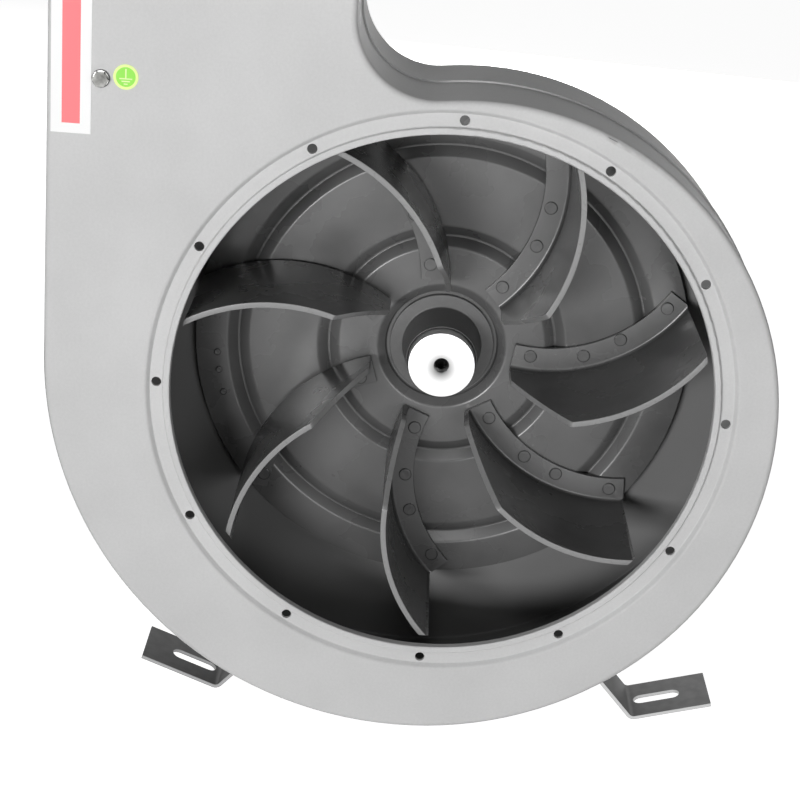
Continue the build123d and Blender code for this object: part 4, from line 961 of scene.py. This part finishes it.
ring_y, flange_y = through + RING_STEP, through + HUB_FLANGE
lip_rear_y = through + LIP_DEPTH + LIP_GAP
hub_lean = offset_at_bend(LIP_DEPTH, LIP_RUN) * LEAN_SHARE
hub_outline = [
    (BORE, NOSE_Y + LEAD_DEPTH, 0.2), (BORE + LEAD, NOSE_Y, 0.15), (NOSE_R, NOSE_Y, 0.25),
    (NOSE_ROOT_R, ring_y, 1.0), (RING_OUT_R, ring_y, 0.4), (RING_OUT_R, lip_rear_y, 0.1),
    (LIP_R - hub_lean, lip_rear_y, 0.1), (LIP_R + LIP_RUN - hub_lean, through + LIP_GAP, 0.1),
    (LIP_R + LIP_RUN, through, 0.0), (HUB_FLANGE_R, through, 0.2), (HUB_FLANGE_R, flange_y, 0.5),
    (BOSS_FOOT_R, flange_y, 2.0), (BOSS_R, HUB_REAR_Y, 0.5), (BORE, HUB_REAR_Y, 0.0)]
hub = grown("hub_turned", outline_mesh("hub_outline", hub_outline),
            (sweep, {"Steps": 129, "Corner steps": 5, "Material": hub_grey}))
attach(hub, "rotor")
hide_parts("wheel_hub")
print("hub:", len(hub.data.polygons), "faces")

# %% Sleeve
SLEEVE_R, FACE_Y, SHAFT_BORE, CLOSED_Y, SINK_R, SINK = 18.75, 60.3, 9.52, 67.3, 4.3, 2.1
sleeve_outline = [
    (HOLE_R, FACE_Y + SINK, 0.1), (SINK_R, FACE_Y, 0.15), (SLEEVE_R, FACE_Y, 0.6),
    (SLEEVE_R, HUB_REAR_Y, 0.2), (SHAFT_BORE, HUB_REAR_Y, 0.2), (SHAFT_BORE, CLOSED_Y, 0.3),
    (HOLE_R, CLOSED_Y, 0.0)]
sleeve = grown("sleeve_turned", outline_mesh("sleeve_outline", sleeve_outline),
               (sweep, {"Steps": 97, "Corner steps": 4, "Material": sleeve_steel}))
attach(sleeve, "rotor")
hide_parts("hub_sleeve")
print("sleeve:", len(sleeve.data.polygons), "faces")

# %% [markdown]
# ## Floor and background
#
# The photograph has a plain white ground. The floor is pale and matt and keeps the fan's
# shadow. What the camera sees of it also glows, so that it reaches white without more light on
# the fan, and mirrors and glass would see the same. The world does the same above the floor.

# %% What looks straight at the ground
def seen_directly(tree):
    """1 for camera, glossy and transmission rays, else 0."""
    path = add(tree, "ShaderNodeLightPath").outputs
    mirrored = add(tree, "ShaderNodeMath",
                   {0: path["Is Glossy Ray"], 1: path["Is Transmission Ray"]},
                   operation="MAXIMUM")
    return add(tree, "ShaderNodeMath", {0: path["Is Camera Ray"], 1: mirrored},
               operation="MAXIMUM")


# %% Floor
WHITE, FLOOR_GLOW, FLOOR_HALF, FLOOR_GAP = (1, 1, 1, 1), 0.93, 6.0, 0.2
floor_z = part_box("foot_right")[0].z - FLOOR_GAP * MM
floor_mesh = bpy.data.meshes.new("floor")
floor_mesh.from_pydata([(x * FLOOR_HALF, y * FLOOR_HALF, floor_z)
                        for x, y in ((-1, -1), (1, -1), (1, 1), (-1, 1))], [], [(0, 1, 2, 3)])
floor = bpy.data.objects.new("floor", floor_mesh)
bpy.context.scene.collection.objects.link(floor)
floor_paint, tree, _ = new_finish("pale_floor")
matt = add(tree, "ShaderNodeBsdfDiffuse", {"Color": linear("#e6e6e6")})
glow = add(tree, "ShaderNodeEmission", {"Color": WHITE, "Strength": FLOOR_GLOW})
lit = add(tree, "ShaderNodeAddShader", {0: matt, 1: glow})
close_finish(tree, add(tree, "ShaderNodeMixShader", {0: seen_directly(tree), 1: matt, 2: lit}))
floor_mesh.materials.append(floor_paint)
print("floor at", round(floor_z, 4), "m")

# %% World
DIM, BRIGHT = 0.035, 1.0
world = bpy.data.worlds.new("studio")
world.use_nodes = True
bpy.context.scene.world = world
tree = world.node_tree
tree.nodes.clear()
dim, bright = (add(tree, "ShaderNodeBackground", {"Color": WHITE, "Strength": strength})
               for strength in (DIM, BRIGHT))
sky = add(tree, "ShaderNodeMixShader", {0: seen_directly(tree), 1: dim, 2: bright})
add(tree, "ShaderNodeOutputWorld", {"Surface": sky})
print("world:", len(tree.nodes), "nodes")

# %% [markdown]
# ## Light
#
# The photograph is lit from in front, near the lens: the front plate is bright, while the side
# walls, the top and the inside of the scroll fall off to dark. A large softbox stands in front,
# to the left, a weaker one to the right fills its shadows, and a small one above puts a glint
# in the grooves. Three more light the back at the fan's own height. They aren't mirrored, so
# that they leave the side walls as dark as in the photograph.

# %% Lamps
# Each has its place, what it faces, its size in metres, its watts and whether it is mirrored.
WHEEL, MOTOR = Vector((0, 0, 0)), Vector((0, 0.1, 0))
for name, place, aim, size, watts, mirrored in (
        ("key_left", (-0.8, -2.1, 0.2), WHEEL, (0.7, 0.4), 31, True),
        ("fill_right", (0.5, -1.5, 0.1), WHEEL, (0.5, 0.4), 4.5, True),
        ("glint_above", (-0.1, -0.8, 0.8), WHEEL, (0.3, 0.12), 1.0, True),
        ("rear_key", (0.4, 2.3, 0.0), MOTOR, (0.8, 0.3), 26, False),
        ("rear_left", (-1.4, 1.6, 0.0), MOTOR, (0.7, 0.3), 12, False),
        ("rear_right", (1.5, 1.4, -0.02), MOTOR, (0.6, 0.3), 3, False)):
    lamp = bpy.data.lights.new(name, "AREA")
    lamp.shape, lamp.energy = "RECTANGLE", watts
    lamp.size, lamp.size_y = size
    holder = bpy.data.objects.new(name, lamp)
    holder.location, holder.visible_glossy = place, mirrored
    holder.rotation_euler = (aim - Vector(place)).to_track_quat("-Z", "Y").to_euler()
    bpy.context.scene.collection.objects.link(holder)
print("lamps:", len(bpy.data.lights))

# %% [markdown]
# ## Camera
#
# The camera stands about a metre in front of the inlet and looks down on it. Its place, its
# turn and its focal length were fitted so that the inlet's rim and its twelve holes fall where
# the photograph has them. The focal length and the shift are counted in the picture's pixels.

# %% Camera
SENSOR, PICTURE, FOCAL, RISE = 36.0, 800, 1850, 10
camera_data = bpy.data.cameras.new("camera")
camera_data.sensor_width = SENSOR
camera_data.lens = FOCAL / PICTURE * SENSOR
camera_data.shift_y = RISE / PICTURE
camera = bpy.data.objects.new("camera", camera_data)
camera.location = (-0.02403, -0.91250, 0.33385)
camera.rotation_euler = [math.radians(a) for a in (69.533, -4.099, 1.3535)]
bpy.context.scene.collection.objects.link(camera)
bpy.context.scene.camera = camera
bpy.context.scene.view_settings.view_transform = "Standard"
print("lens:", camera_data.lens, "mm")
